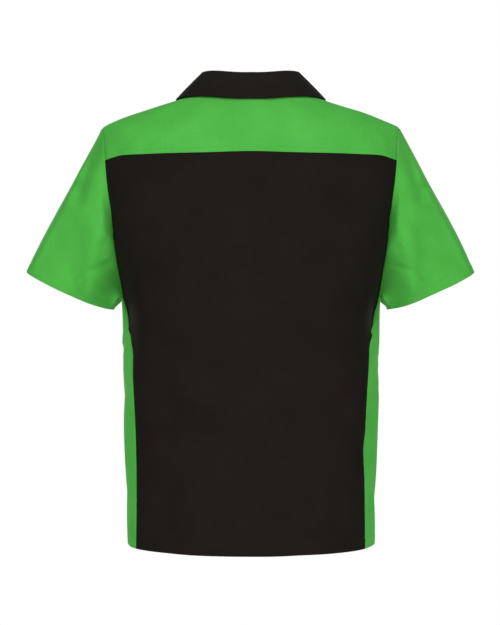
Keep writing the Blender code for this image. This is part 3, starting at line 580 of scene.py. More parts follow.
def unevenness(points, normals):
    """How the broad waves move the points."""
    height = WAVE_HEIGHT * sum(np.sin(k * (points @ way) + phase) for way, k, phase in WAVES)
    return height[..., None] * normals


def moved(grids, *pushes):
    """The grids with their points moved, and their new normals."""
    normals = skin_normals(grids)
    made = {
        name: grid + sum(push(grid, normals[name]) for push in pushes)
        for name, grid in grids.items()
    }
    return made, skin_normals(made)


panels, panel_normals = moved(panels, tuck_push)
panels, panel_normals = moved(panels, fold_push)
panels, panel_normals = moved(panels, crease_push, unevenness)

# ================================================================ back panel
# The black back, one piece of polyester and cotton poplin from the yoke seam down to the hem. Its
# lower edge is turned up twice and sewn with one row, and the green pieces are sewn to its sides.
CLOTH = 0.0011
HEM_STITCH = 0.0185
HEM_PLY = 0.00025  # how far the turned-up plies show through
PLY_SLOPE = 0.0020  # the width over which a ply's edge shows through
EDGE_ROLL = 0.0004
EDGE_ROLL_WIDTH = 0.0006
GROOVE_DEPTH = 0.0004
GROOVE_WIDTH = 0.0012
SEAM_DEPTH = 0.0003
SEAM_DENT_WIDTH = 0.0014
SEAM_PUCKER = 0.00022
SEAM_PUCKER_REACH = 0.012
PUCKER = 0.0003
PUCKER_REACH = 0.010
PUCKER_PITCHES = (0.0125, 0.0170, 0.0260, 0.0410)
PUCKER_DRIFT = (0.10, 0.16)  # along the row, the puckers grow and fade over this


def runs(points):
    """Metres from a grid's left, right, bottom and top edges, along its rows and columns."""
    across = np.linalg.norm(np.diff(points, axis=1), axis=2).cumsum(axis=1)
    across = np.pad(across, ((0, 0), (1, 0)))
    up = np.linalg.norm(np.diff(points, axis=0), axis=2).cumsum(axis=0)
    up = np.pad(up, ((1, 0), (0, 0)))
    return across, across[:, -1:] - across, up, up[-1:] - up


def rolled(distance):
    """The round turn of a folded edge."""
    return -EDGE_ROLL * np.exp(-distance / EDGE_ROLL_WIDTH)


def groove(distance, line):
    """The dent that a row of stitches draws into the cloth."""
    return -GROOVE_DEPTH * np.exp(-(((distance - line) / GROOVE_WIDTH) ** 2))


def puckers(distance, along, line, seed, height=PUCKER, reach=PUCKER_REACH):
    """Small uneven waves square to a row of stitches."""
    draw = random.Random(seed)
    wave = 0
    for pitch in PUCKER_PITCHES:
        drift = draw.uniform(*PUCKER_DRIFT)
        strength = 0.6 + 0.4 * np.sin(2 * math.pi * along / drift + draw.uniform(0, 6))
        wave = wave + strength * np.sin(2 * math.pi * along / pitch + draw.uniform(0, 6))
    return 0.5 * height * wave * np.exp(-(((distance - line) / reach) ** 2))


def hem(distance, along, seed):
    """An edge turned up twice and sewn with one row."""
    plies = HEM_PLY * smooth((HEM_STITCH + PLY_SLOPE / 2 - distance) / PLY_SLOPE)
    row = groove(distance, HEM_STITCH)
    return plies + rolled(distance) + row + puckers(distance, along, HEM_STITCH, seed)


def seamed(distance, along, seed, height=SEAM_PUCKER, depth=SEAM_DEPTH):
    """A plain seam, which draws the edge in."""
    dent = -depth * np.exp(-((distance / SEAM_DENT_WIDTH) ** 2))
    return dent + puckers(distance, along, 0.0, seed, height, reach=SEAM_PUCKER_REACH)


def panel_relief(grid, seed, step=1):
    """The relief of a panel with a hem at its bottom and plain seams on its other sides."""
    left, right, bottom, top = runs(grid)
    ends = hem(bottom, left, seed) + seamed(top, left, seed + step)
    sides = seamed(left, bottom, seed + 2 * step) + seamed(right, bottom, seed + 3 * step)
    return ends + sides


def raised(grid, normals, relief):
    """The grid with its relief on it."""
    return grid + normals * relief[..., None]


def flat_map(points):
    """Where each point lay on the flat cloth, in metres, for the weave."""
    left, right, bottom, _ = runs(points)
    return np.stack([(left - right) / 2, bottom], axis=-1)


def add_grid(mesh, points):
    """Adds a grid of faces through these points, with its place on the flat cloth as its UV."""
    rows, across = points.shape[:2]
    faces_before = len(mesh.faces)
    made = bmesh.ops.create_grid(mesh, x_segments=across - 1, y_segments=rows - 1, size=1)
    for vert, point in zip(made["verts"], points.reshape(-1, 3)):
        vert.co = point
    mesh.verts.index_update()
    first = made["verts"][0].index
    flat = flat_map(points).reshape(-1, 2)
    weave = mesh.loops.layers.uv["weave"]
    mesh.faces.ensure_lookup_table()
    for face in mesh.faces[faces_before:]:
        for loop in face.loops:
            loop[weave].uv = flat[loop.vert.index - first]


def placed(name, data, material):
    """Adds an object for a finished mesh."""
    data.materials.append(material)
    made = bpy.data.objects.new(name, data)
    bpy.context.scene.collection.objects.link(made)
    return made


def cloth_piece(name, grids, material, thickness=CLOTH):
    """A sewn piece: its outer face through the grids' points, and a wall behind it."""
    mesh = bmesh.new()
    mesh.loops.layers.uv.new("weave")
    for points in grids:
        add_grid(mesh, points)
    bmesh.ops.remove_doubles(mesh, verts=mesh.verts, dist=1e-5)
    for face in mesh.faces:
        face.smooth = True
    for edge in mesh.edges:
        edge.smooth = not edge.is_boundary
    data = bpy.data.meshes.new(name)
    mesh.to_mesh(data)
    mesh.free()
    made = placed(name, data, material)
    wall = made.modifiers.new("wall", "SOLIDIFY")
    wall.thickness = thickness
    wall.offset = -1
    return made


def colour(code):
    """An sRGB hex colour as Blender's linear one."""
    parts = [int(code[i : i + 2], 16) / 255 for i in (1, 3, 5)]
    return (*(c / 12.92 if c <= 0.04045 else ((c + 0.055) / 1.055) ** 2.4 for c in parts), 1.0)


def feed(tree, node, inputs):
    """Gives a node's inputs a value each, or another node's socket to be linked from."""
    for name, value in inputs.items():
        if isinstance(value, bpy.types.NodeSocket):
            tree.links.new(value, node.inputs[name])
        else:
            node.inputs[name].default_value = value


def add(tree, kind, settings=None, inputs=None):
    """Adds a node with its settings, and feeds its inputs."""
    made = tree.nodes.new(kind)
    for name, value in (settings or {}).items():
        setattr(made, name, value)
    feed(tree, made, inputs or {})
    return made


def new_material(name):
    """A material with its node tree and its shader, still bare."""
    material = bpy.data.materials.new(name)
    material.use_nodes = True
    return material, material.node_tree, material.node_tree.nodes["Principled BSDF"]


THREAD_SPACING = 0.0011  # the real one is 0.28 mm; four times coarser so that a close view shows it
WAVE_BANDS = 20  # a wave texture has 20 / (2 pi) bands in each unit
SLUB_WIDTH = 0.0016
SLUB_LENGTH = 0.035
SLUB_SHADE = 0.50
SLUB_RISE = 0.6
PATCH = 0.055  # how wide the broad, faint changes of shade are
WEAVE_SHADE = 0.20
WEAVE_DEPTH = 0.00025


def poplin(name, light, dark, roughness):
    """Plain-woven poplin: fine even threads, with slightly thicker ones here and there both ways,
    which give the eye a matt face with a faint grain."""
    material, tree, shader = new_material(name)
    uv = add(tree, "ShaderNodeUVMap", {"uv_map": "weave"}).outputs["UV"]
    place = add(tree, "ShaderNodeTexCoord").outputs["Object"]
    bands = 2 * math.pi / (WAVE_BANDS * THREAD_SPACING)
    threads, slubs = [], []
    for way, size in (("X", (SLUB_WIDTH, SLUB_LENGTH)), ("Y", (SLUB_LENGTH, SLUB_WIDTH))):
        settings = {"wave_type": "BANDS", "bands_direction": way}
        wave = add(tree, "ShaderNodeTexWave", settings, {"Vector": uv, "Scale": bands})
        threads.append(wave.outputs["Fac"])
        inputs = {"Vector": uv, "Scale": (1 / size[0], 1 / size[1], 1)}
        stretched = add(tree, "ShaderNodeMapping", None, inputs).outputs["Vector"]
        inputs = {"Vector": stretched, "Scale": 1.0, "Detail": 2.0, "Roughness": 0.6}
        slubs.append(add(tree, "ShaderNodeTexNoise", None, inputs).outputs["Fac"])
    weave = add(tree, "ShaderNodeMath", {"operation": "MULTIPLY"}, dict(enumerate(threads))).outputs[0]
    both = add(tree, "ShaderNodeMath", {"operation": "ADD"}, dict(enumerate(slubs))).outputs[0]
    inputs = {"Vector": place, "Scale": 1 / PATCH, "Detail": 3.0}
    patches = add(tree, "ShaderNodeTexNoise", None, inputs).outputs["Fac"]
    settings = {"operation": "MULTIPLY_ADD"}
    shade = add(tree, "ShaderNodeMath", settings, {0: both, 1: SLUB_SHADE, 2: patches}).outputs[0]
    shade = add(tree, "ShaderNodeMath", settings, {0: weave, 1: WEAVE_SHADE, 2: shade}).outputs[0]
    relief = add(tree, "ShaderNodeMath", settings, {0: both, 1: SLUB_RISE, 2: weave}).outputs[0]
    inputs = {"Value": shade, "From Min": 0.75, "From Max": 1.35}
    tone = add(tree, "ShaderNodeMapRange", None, inputs).outputs[0]
    inputs = {"Factor": tone, "A": colour(dark), "B": colour(light)}
    mixed = add(tree, "ShaderNodeMix", {"data_type": "RGBA"}, inputs).outputs["Result"]
    inputs = {"Height": relief, "Strength": 0.50, "Distance": WEAVE_DEPTH}
    normal = add(tree, "ShaderNodeBump", None, inputs).outputs["Normal"]
    feed(tree, shader, {"Base Color": mixed, "Normal": normal})
    feed(tree, shader, {"Roughness": roughness, "Specular IOR Level": 0.08})
    return material


# Black polyester and cotton poplin, piece-dyed: a warm, nearly even black.
black_poplin = poplin("black_poplin", light="#1C1915", dark="#171310", roughness=0.85)

STITCH_PITCH = 0.0032
STITCH_LENGTH = 0.0024
STITCH_RISE = 0.3  # how far a bead's middle stands over the cloth, in half widths of the thread
BEAD_SIDES = 6
BEAD_RINGS = 4
THREAD = 0.00024  # half the sewing thread's width
TWIST = 0.0004  # how long one turn of its twist is


def sewing_thread(name, shade):
    """Spun polyester sewing thread, dyed to the cloth: twisted, so a little shinier than it."""
    material, tree, shader = new_material(name)
    place = add(tree, "ShaderNodeTexCoord").outputs["Object"]
    inputs = {"Vector": place, "Scale": 1 / TWIST, "Detail": 1.0}
    twist = add(tree, "ShaderNodeTexNoise", None, inputs).outputs["Fac"]
    inputs = {"Height": twist, "Strength": 0.4, "Distance": 0.0001}
    normal = add(tree, "ShaderNodeBump", None, inputs).outputs["Normal"]
    feed(tree, shader, {"Base Color": colour(shade), "Normal": normal})
    feed(tree, shader, {"Roughness": 0.55, "Specular IOR Level": 0.25})
    return material


black_thread = sewing_thread("black_sewing_thread", "#211D1A")


def line_at(points, normals, distance, at):
    """A line across a grid, one point and normal a column, where its distance down them is at."""
    values = np.concatenate([points, normals], axis=-1)
    return np.array(
        [
            [np.interp(at, distance[:, i], values[:, i, k]) for k in range(6)]
            for i in range(points.shape[1])
        ]
    )


def stitch_places(line):
    """Evenly spaced stitches along a line: each one's middle, direction and normal."""
    run = np.concatenate([[0.0], np.linalg.norm(np.diff(line[:, :3], axis=0), axis=1).cumsum()])
    count = max(1, int(run[-1] / STITCH_PITCH))
    middle = (np.arange(count) + 0.5) * run[-1] / count
    at = [
        np.stack([np.interp(middle + d, run, line[:, k]) for k in range(6)], axis=-1)
        for d in (-STITCH_LENGTH / 4, 0, STITCH_LENGTH / 4)
    ]
    along = at[2][:, :3] - at[0][:, :3]
    return at[1][:, :3], along, at[1][:, 3:]


def stitches(name, middle, along, normal, material, length=STITCH_LENGTH):
    """Stitches, each a small bead of thread half sunk in the cloth."""
    bead = bmesh.new()
    bmesh.ops.create_uvsphere(bead, u_segments=BEAD_SIDES, v_segments=BEAD_RINGS, radius=1)
    shape = np.array([vert.co for vert in bead.verts])
    faces = [[vert.index for vert in face.verts] for face in bead.faces]
    bead.free()
    along = along / np.linalg.norm(along, axis=1)[:, None]
    square = np.cross(normal, along)
    square /= np.linalg.norm(square, axis=1)[:, None]
    axes = np.stack([along * length / 2, square * THREAD, np.cross(along, square) * THREAD], axis=1)
    points = (middle + normal * THREAD * STITCH_RISE)[:, None] + shape @ axes
    count = len(shape)
    data = bpy.data.meshes.new(name)
    data.from_pydata(
        points.reshape(-1, 3).tolist(),
        [],
        [[k * count + i for i in face] for k in range(len(middle)) for face in faces],
    )
    data.shade_smooth()
    return placed(name, data, material)


def sewn_rows(name, lines, material):
    """Rows of stitches along lines."""
    places = [np.concatenate(group) for group in zip(*(stitch_places(line) for line in lines))]
    return stitches(name, *places, material)


def on_shirt(piece):
    """Sets a piece to ride on the shirt's one body."""
    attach(piece, "root")


grid, normals = panels["back"], panel_normals["back"]
outer = raised(grid, normals, panel_relief(grid, seed=1))
back = cloth_piece("back_panel", [outer], black_poplin)
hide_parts("back")
on_shirt(back)
rows = [line_at(outer, normals, runs(grid)[2], HEM_STITCH)]
on_shirt(sewn_rows("back_stitching", rows, black_thread))

# ================================================================ yoke
# One piece of green poplin over the shoulders, from the seam across the back to a seam on each side
# of the front. Its edges are folded and lie over the black ones, held by two rows of stitches.
YOKE_SEED = 20
LAP_STITCHES = (0.0016, 0.0076)
LAP_WIDTH = 0.0085
LAP_PLY = 0.0009
YOKE_CORNER = -0.1213  # the height of its lower corner beside the armhole
YOKE_DENT = 0.0008  # how much deeper the armhole's seam lies beside the yoke
YOKE_DENT_FADE = 0.014

# The same poplin dyed a bright green, on which every fold shows as a soft, clear shade.
green_poplin = poplin("green_poplin", light="#53B84A", dark="#48AB41", roughness=0.80)
green_thread = sewing_thread("green_sewing_thread", "#4FB147")


def lapped(distance, along, seed):
    """A folded edge laid over the next piece and sewn down with two rows."""
    plies = LAP_PLY * smooth((LAP_WIDTH - distance) / PLY_SLOPE)
    rows = sum(groove(distance, line) for line in LAP_STITCHES)
    return plies + rolled(distance) + rows + puckers(distance, along, LAP_STITCHES[1], seed)


def armhole_depth(points):
    """How far the armhole's seam draws the cloth in: more beside the yoke, behind the shoulder."""
    over_corner = smooth((points[..., 2] - YOKE_CORNER) / YOKE_DENT_FADE)
    return SEAM_DEPTH + YOKE_DENT * (over_corner * smooth(points[..., 1] / YOKE_DENT_FADE))


pieces, rows = [], []
for number, part in enumerate(("yoke", "yoke_front_left", "yoke_front_right")):
    grid, normals = panels[part], panel_normals[part]
    left, right, bottom, _ = runs(grid)
    relief = lapped(bottom, left, seed=YOKE_SEED + number)
    if part == "yoke":
        seams = ((left, YOKE_SEED + 3), (right, YOKE_SEED + 4))
        depth = armhole_depth(grid)
        relief += sum(seamed(side, bottom, seed, depth=depth) for side, seed in seams)
    outer = raised(grid, normals, relief)
    pieces.append(outer)
    rows += [line_at(outer, normals, bottom, line) for line in LAP_STITCHES]
yoke = cloth_piece("yoke_panel", pieces, green_poplin)
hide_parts("yoke")
on_shirt(yoke)
on_shirt(sewn_rows("yoke_stitching", rows, green_thread))

# ================================================================ side panels
# A panel of green poplin under each arm, sewn between the back and a front with plain seams, into
# the armhole at its top, and turned up twice at the hem.
SIDE_SEED = 30
for name, sign in (("left", 1), ("right", -1)):
    grid, normals = panels[f"side_{name}"], panel_normals[f"side_{name}"]
    outer = raised(grid, normals, panel_relief(grid, seed=SIDE_SEED + sign, step=2))
    panel = cloth_piece(f"side_panel_{name}_cloth", [outer], green_poplin)
    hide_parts(f"side_panel_{name}")
    on_shirt(panel)
    rows = [line_at(outer, normals, runs(grid)[2], HEM_STITCH)]
    on_shirt(sewn_rows(f"side_panel_{name}_stitching", rows, green_thread))

# ================================================================ fronts
# Two fronts of black poplin, sewn to the yoke and the side panels and turned up at the hem. They
# meet at the centre, the wearer's left one over the right one, which sinks in behind it.
FRONT_SEED = 40
SINK_WIDTH = 0.030
SINK = 0.0022
grid, normals = panels["front"], panel_normals["front"]
left, _, bottom, _ = runs(grid)
centre = np.argmin(np.abs(grid[0, :, 0]))
overlap = len(overlap_columns)
shared = panel_relief(grid, seed=FRONT_SEED)
for name, kept, sink in (
    ("left", slice(centre - overlap, None), 0.0),
    ("right", slice(None, centre + overlap + 1), SINK),
):
    relief = shared - sink * smooth((grid[..., 0] + OVERLAP + SINK_WIDTH) / SINK_WIDTH)
    outer = raised(grid, normals, relief)[:, kept]
    front = cloth_piece(f"front_panel_{name}", [outer], black_poplin)
    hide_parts(f"front_{name}")
    on_shirt(front)
    rows = [line_at(outer, normals[:, kept], bottom[:, kept], HEM_STITCH)]
    on_shirt(sewn_rows(f"front_{name}_stitching", rows, black_thread))

# ================================================================ placket
# A folded strip of black poplin on the left front's edge, sewn down near both of its sides. It
# carries the buttonholes.
PLACKET_CLOTH = 0.0011
PLACKET_LIFT = 0.0014
PLACKET_STITCH = 0.0045


def flipped(points, normals, distance):
    """The same grid with its rows the other way up, for a line near its far edge."""
    return points[::-1], normals[::-1], distance[::-1]


def turned(points, normals, distance):
    """The same grid with its columns as rows, for a line near its left edge."""
    return points.swapaxes(0, 1), normals.swapaxes(0, 1), distance.swapaxes(0, 1)


kept = slice(centre - overlap, centre + overlap + 1)
outer = raised(grid, normals, hem(bottom, left, FRONT_SEED) + PLACKET_LIFT)[:, kept]
from_left, from_right, _, _ = runs(outer)
outer = raised(outer, normals[:, kept], rolled(from_left) + rolled(from_right))
placket = cloth_piece("placket_strip", [outer], black_poplin, thickness=PLACKET_CLOTH)
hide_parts("placket")
on_shirt(placket)
rows = [
    line_at(*turned(outer, normals[:, kept], from_left), PLACKET_STITCH),
    line_at(*flipped(*turned(outer, normals[:, kept], from_right)), PLACKET_STITCH),
]
on_shirt(sewn_rows("placket_stitching", rows, black_thread))

# An upright buttonhole under each button: a slit edged with close stitches, and a bar at each end.
BUTTON_COUNT = 6
BUTTONHOLE = 0.0150
BUTTONHOLE_PITCH = 0.0005
BUTTONHOLE_SIDE = 0.0010  # from the slit to the middle of the stitches beside it
BUTTONHOLE_STITCH = 0.0015
centre_line = np.hstack([outer[:, overlap], normals[:, kept][:, overlap]])
button_boxes = [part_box(f"button_{number + 1}") for number in range(BUTTON_COUNT)]
button_heights = [(Vector(low) + Vector(high)).z / 2 for low, high in button_boxes]


def on_placket(height):
    """The point and normal of the placket's middle at each height."""
    return np.stack([np.interp(height, centre_line[:, 2], centre_line[:, k]) for k in range(6)], axis=-1)


half_hole = np.arange(-BUTTONHOLE / 2, BUTTONHOLE / 2, BUTTONHOLE_PITCH)
middles, facings = [], []
for height in button_heights:
    line = on_placket(height + half_hole)
    ends = on_placket(height + np.array((-BUTTONHOLE / 2, BUTTONHOLE / 2)))
    for side_x in (-BUTTONHOLE_SIDE, BUTTONHOLE_SIDE):
        middles.append(line[:, :3] + (side_x, 0, 0))
        facings.append(line[:, 3:])
    for offset in (-BUTTONHOLE_PITCH, 0, BUTTONHOLE_PITCH):
        middles.append(ends[:, :3] + (0, 0, offset))
        facings.append(ends[:, 3:])
middles, facings = np.concatenate(middles), np.concatenate(facings)
level = np.tile((1.0, 0.0, 0.0), (len(middles), 1))
buttonholes = stitches(
    "buttonhole_stitching", middles, level, facings, black_thread, length=BUTTONHOLE_STITCH
)
on_shirt(buttonholes)

# ================================================================ sleeves
# Short set-in sleeves, each one piece of green poplin sewn into its armhole and turned up at the
# cuff. The seam allowances are pressed into the sleeve, so it stands a little proud there.
SLEEVE_SEED = 50
RIDGE_WIDTH = 0.0070
RIDGE_SLOPE = 0.0030
RIDGE_HEIGHT = 0.0003
SLEEVE_PUCKER = 0.0003
SLEEVE_ROUND = 0.48  # about how far it is round a sleeve, to space its puckers by
UNDERARM = 0.045  # columns shorter than this lie in the fold under the arm
for name, sign in (("left", 1), ("right", -1)):
    grid, normals = panels[f"sleeve_{name}"], panel_normals[f"sleeve_{name}"]
    left, _, from_armhole, from_cuff = runs(grid)
    around = left / left[:, -1:] * SLEEVE_ROUND
    ridge = RIDGE_HEIGHT * smooth((RIDGE_WIDTH - from_armhole) / RIDGE_SLOPE)
    depth = armhole_depth(grid)
    ridge += seamed(from_armhole, around, SLEEVE_SEED + 2 + sign, SLEEVE_PUCKER, depth)
    relief = hem(from_cuff, around, seed=SLEEVE_SEED + sign) + ridge
    relief *= smooth((from_armhole[-1] - UNDERARM) / UNDERARM)  # plain where it's folded there
    relief[:, -1] = relief[:, 0]
    outer = raised(grid, normals, relief)
    cloth = cloth_piece(f"sleeve_{name}_cloth", [outer], green_poplin)
    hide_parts(f"sleeve_{name}")
    on_shirt(cloth)
    rows = [line_at(*flipped(outer, normals, from_cuff), HEM_STITCH)]
    on_shirt(sewn_rows(f"sleeve_{name}_stitching", rows, green_thread))

# ================================================================ collar
# A turned-down collar of two plies of the black cloth with a stiffener between them: up inside
# the neck, over, and down on the yoke and fronts, sewn all round near its edge.
Stand = namedtuple("Stand", "angle rise lean")
STAND = (
    Stand(0, 0.0352, 0.0080),
    Stand(60, 0.0342, 0.0040),
    Stand(90, 0.0328, 0.0006),
    Stand(140, 0.0290, -0.0010),
    Stand(180, 0.0230, -0.0030),
)
COLLAR_CLOTH = 0.0022  # the room it takes
COLLAR_WALL = 0.0019
FOLD_RADIUS = 0.0024
FOLD_END = 20  # degrees over level, where the fold runs out into the fall
NECK_CLEARANCE = 0.0006
FOOT_DROP = 0.0050  # the stand starts this far below the neckline,
FOOT_INSET = 0.0016  # and this far inside it
FALL_HALF_WIDTH = 0.127
FALL_BACK = 0.0855
FALL_BULGE = 0.0030
SIDE_BULGE = 0.0004
COLLAR_POINT_X = 0.046
COLLAR_POINT_ANGLE = math.radians(17)
COLLAR_END_ANGLE = math.radians(179.94)  # the ends of the stand touch, but for a hair's breadth
FALL_LENGTH = 0.045
COLLAR_REST = 0.0006
COLLAR_STITCH = 0.0060
STAND_STEPS = 10
FOLD_STEPS = 12
COLLAR_STEPS = 96
fall_steps = spread(FALL_LENGTH, COLUMN_STEP, near_end=SEAM_LINES)


def surface_normal(x, angle, facing):
    """The way out of the yoke or a front over the chest line."""
    step = 1e-4
    here = shoulder_point(x, angle, facing)
    along = shoulder_point(x + step, angle, facing) - here
    up = here - shoulder_point(x, angle - step, facing)
    normal = np.cross(along, up)
    normal /= np.linalg.norm(normal)
    return normal if normal @ (0, facing, 1) > 0 else -normal


def fall_edge(turn):
    """The collar's outer edge, which lies on the yoke and the fronts."""
    if turn <= math.pi / 2:
        x = np.array(FALL_HALF_WIDTH * math.sin(turn))
        angle = shoulder_angle(x, FALL_BACK * math.cos(turn), 1)
        facing = 1
    else:
        share = (turn - math.pi / 2) / (COLLAR_END_ANGLE - math.pi / 2)
        x = np.array(mix(FALL_HALF_WIDTH, COLLAR_POINT_X, share**1.5))
        angle = mix(math.pi / 2, COLLAR_POINT_ANGLE, share**0.9)
        facing = -1
    lift = surface_normal(x, angle, facing) * (COLLAR_CLOTH + COLLAR_REST)
    return shoulder_point(x, angle, facing) + lift


def collar_column(turn):
    """One section of the collar: up the stand, over the fold and down the fall."""
    x, y = neck_plan(np.array(turn))
    depth = NECK_BACK if y > 0 else NECK_FRONT
    out = np.array((x / NECK_HALF**2, y / depth**2, 0.0))
    out /= np.linalg.norm(out)
    up = np.array((0.0, 0.0, 1.0))
    neck = shoulder_point(x, neck_angle(np.array(turn)), 1 if y >= 0 else -1)
    foot = neck - out * (COLLAR_CLOTH - NECK_CLEARANCE) + up * NECK_CLEARANCE
    degrees = math.degrees(turn)
    rise = read(STAND, "rise", degrees, by="angle") - FOLD_RADIUS
    head = foot + up * rise - out * read(STAND, "lean", degrees, by="angle")
    root = foot - out * FOOT_INSET - up * FOOT_DROP
    stand = mix(root, head, np.linspace(0, 1, STAND_STEPS)[:-1, None])
    angle = np.radians(np.linspace(180, FOLD_END, FOLD_STEPS))[:, None]
    fold = head + out * FOLD_RADIUS * (1 + np.cos(angle)) + up * FOLD_RADIUS * np.sin(angle)
    start, end = fold[-1], fall_edge(turn)
    across = (end - start) / np.linalg.norm(end - start)
    bulge = up - across * (up @ across)
    bulge *= mix(FALL_BULGE, SIDE_BULGE, abs(math.sin(turn)) ** 3) / np.linalg.norm(bulge)
    share = fall_steps[1:, None]
    return np.vstack([stand, fold, mix(start, end, share) + bulge * np.sin(math.pi * share)])


turns = [COLLAR_END_ANGLE * k / COLLAR_STEPS for k in range(COLLAR_STEPS + 1)]
half = np.array([collar_column(turn) for turn in turns])
grid = np.vstack([mirrored(half)[:0:-1], half])[:, ::-1]
normals = skin_normals({"collar": grid})["collar"]
from_edge, _, from_one_end, from_other_end = runs(grid)
ends = np.minimum(from_one_end, from_other_end)
relief = rolled(from_edge) + rolled(ends) + groove(from_edge, COLLAR_STITCH)
outer = raised(grid, normals, relief)
collar = cloth_piece("collar_cloth", [outer], black_poplin, thickness=COLLAR_WALL)
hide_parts("collar")
on_shirt(collar)
rows = [line_at(*turned(outer, normals, from_edge), COLLAR_STITCH)]
on_shirt(sewn_rows("collar_stitching", rows, black_thread))

# ================================================================ buttons
# Six four-hole buttons, turned from black polyester resin rod and tumbled to a soft gloss. Each is
# sewn through its holes to the right front, and stands on a short shank of the black thread.
BUTTON_RADIUS = 0.0056
BUTTON_THICKNESS = 0.0026
BUTTON_SIDES = 40
BUTTON_RAISED = 0.0006  # by its shank, over the placket
WELL = (0.50, 0.58)  # the sunk middle: its radius and height, as shares of the button's own
HOLE_RADIUS = 0.0008
HOLE_PLACE = 0.0013
HOLE_SIDES = 16
STRAND_SIDES = 8
ARCH_STEPS = 10
STRANDS = (-0.00042, 0.0, 0.00042)  # three turns of thread side by side through each pair of holes
ARCH = 0.45  # how high the thread stands over the well, as a share of half its span
PROFILE = (
    WELL, (0.60, 0.66), (0.70, 0.92), (0.78, 1.00), (0.88, 0.98),
    (0.97, 0.84), (1.00, 0.66), (0.99, 0.40), (0.93, 0.14), (0.80, 0.00),
)
# Polyester resin: faint swirls from the casting, and small soft highlights along its rim.
SWIRL = 1 / 300  # a swirl is about 3 mm wide
button_resin, tree, shader = new_material("black_polyester_resin")
place = add(tree, "ShaderNodeTexCoord").outputs["Object"]
inputs = {"Vector": place, "Scale": 1 / SWIRL, "Detail": 2.0, "Distortion": 1.0}
swirl = add(tree, "ShaderNodeTexNoise", None, inputs).outputs["Fac"]
inputs = {"Factor": swirl, "A": colour("#161514"), "B": colour("#201E1D")}
resin = add(tree, "ShaderNodeMix", {"data_type": "RGBA"}, inputs).outputs["Result"]
feed(tree, shader, {"Base Color": resin, "Roughness": 0.28, "IOR": 1.54})


def ring(mesh, radius, height, segments, centre=(0.0, 0.0)):
    """A ring of edges that lies level."""
    place = Matrix.Translation((*centre, height))
    made = bmesh.ops.create_circle(mesh, segments=segments, radius=radius, matrix=place)
    return list({edge for vert in made["verts"] for edge in vert.link_edges})


def turned_button():
    """A button on its back, with four holes through it."""
    mesh = bmesh.new()
    profile = [mesh.verts.new((r * BUTTON_RADIUS, 0, h * BUTTON_THICKNESS)) for r, h in PROFILE]
    edges = [mesh.edges.new(pair) for pair in zip(profile, profile[1:])]
    bmesh.ops.spin(
        mesh, geom=profile + edges, axis=(0, 0, 1), cent=(0, 0, 0),
        angle=2 * math.pi, steps=BUTTON_SIDES, use_merge=True,
    )
    holes = [(x, y) for x in (-HOLE_PLACE, HOLE_PLACE) for y in (-HOLE_PLACE, HOLE_PLACE)]
    faces = []
    for r, h in (PROFILE[0], PROFILE[-1]):
        height = h * BUTTON_THICKNESS
        rims = [ring(mesh, HOLE_RADIUS, height, HOLE_SIDES, hole) for hole in holes]
        outline = ring(mesh, r * BUTTON_RADIUS, height, BUTTON_SIDES)
        edges = [*outline, *(edge for rim in rims for edge in rim)]
        bmesh.ops.triangle_fill(mesh, edges=edges, use_beauty=True)
        faces.append(rims)
    for front, back in zip(*faces):
        bmesh.ops.bridge_loops(mesh, edges=front + back)
    bmesh.ops.remove_doubles(mesh, verts=mesh.verts, dist=1e-6)
    bmesh.ops.recalc_face_normals(mesh, faces=mesh.faces)
    return mesh


def button_sewing():
    """The thread through a button on its back: arches from hole to hole, with legs down to the cloth."""
    mesh = bmesh.new()
    top = WELL[1] * BUTTON_THICKNESS
    for x in (-HOLE_PLACE, HOLE_PLACE):
        for strand in STRANDS:
            turn = Matrix.Translation((x + strand, HOLE_PLACE, 0))
            loop = bmesh.ops.create_circle(mesh, segments=STRAND_SIDES, radius=THREAD, matrix=turn)
            edges = list({edge for vert in loop["verts"] for edge in vert.link_edges})
            bmesh.ops.spin(
                mesh, geom=loop["verts"] + edges, axis=(1, 0, 0), cent=(0, 0, 0),
                angle=math.pi, steps=ARCH_STEPS,
            )
    bmesh.ops.scale(mesh, vec=(1, 1, ARCH), verts=mesh.verts)
    legs = bmesh.ops.extrude_edge_only(mesh, edges=[e for e in mesh.edges if e.is_boundary])["geom"]
    feet = [part for part in legs if isinstance(part, bmesh.types.BMVert)]
    bmesh.ops.translate(mesh, vec=(0, 0, -top - BUTTON_RAISED - THREAD), verts=feet)
    bmesh.ops.translate(mesh, vec=(0, 0, top), verts=mesh.verts)
    bmesh.ops.holes_fill(mesh, edges=[e for e in mesh.edges if e.is_boundary])
    bmesh.ops.recalc_face_normals(mesh, faces=mesh.faces)
    return mesh


def finished(name, mesh, material, sharp=50):
    """The object of a finished bmesh, smooth but for its sharp edges."""
    data = bpy.data.meshes.new(name)
    mesh.to_mesh(data)
    mesh.free()
    data.shade_smooth()
    data.set_sharp_from_angle(angle=math.radians(sharp))
    return placed(name, data, material)


for number, height in enumerate(button_heights):
    node = f"button_{number + 1}"
    seat = on_placket(height)
    out = Vector(seat[3:]) * Vector((0, 1, 1))
    place = Matrix.Translation(Vector(seat[:3]) + out.normalized() * BUTTON_RAISED)
    place = place @ out.to_track_quat("Z", "Y").to_matrix().to_4x4()
    mesh = turned_button()
    bmesh.ops.transform(mesh, matrix=place, verts=mesh.verts)
    button = finished(f"{node}_resin", mesh, button_resin, sharp=60)
    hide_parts(node)
    on_shirt(button)
    mesh = button_sewing()
    bmesh.ops.transform(mesh, matrix=place, verts=mesh.verts)
    on_shirt(finished(f"{node}_thread", mesh, black_thread))

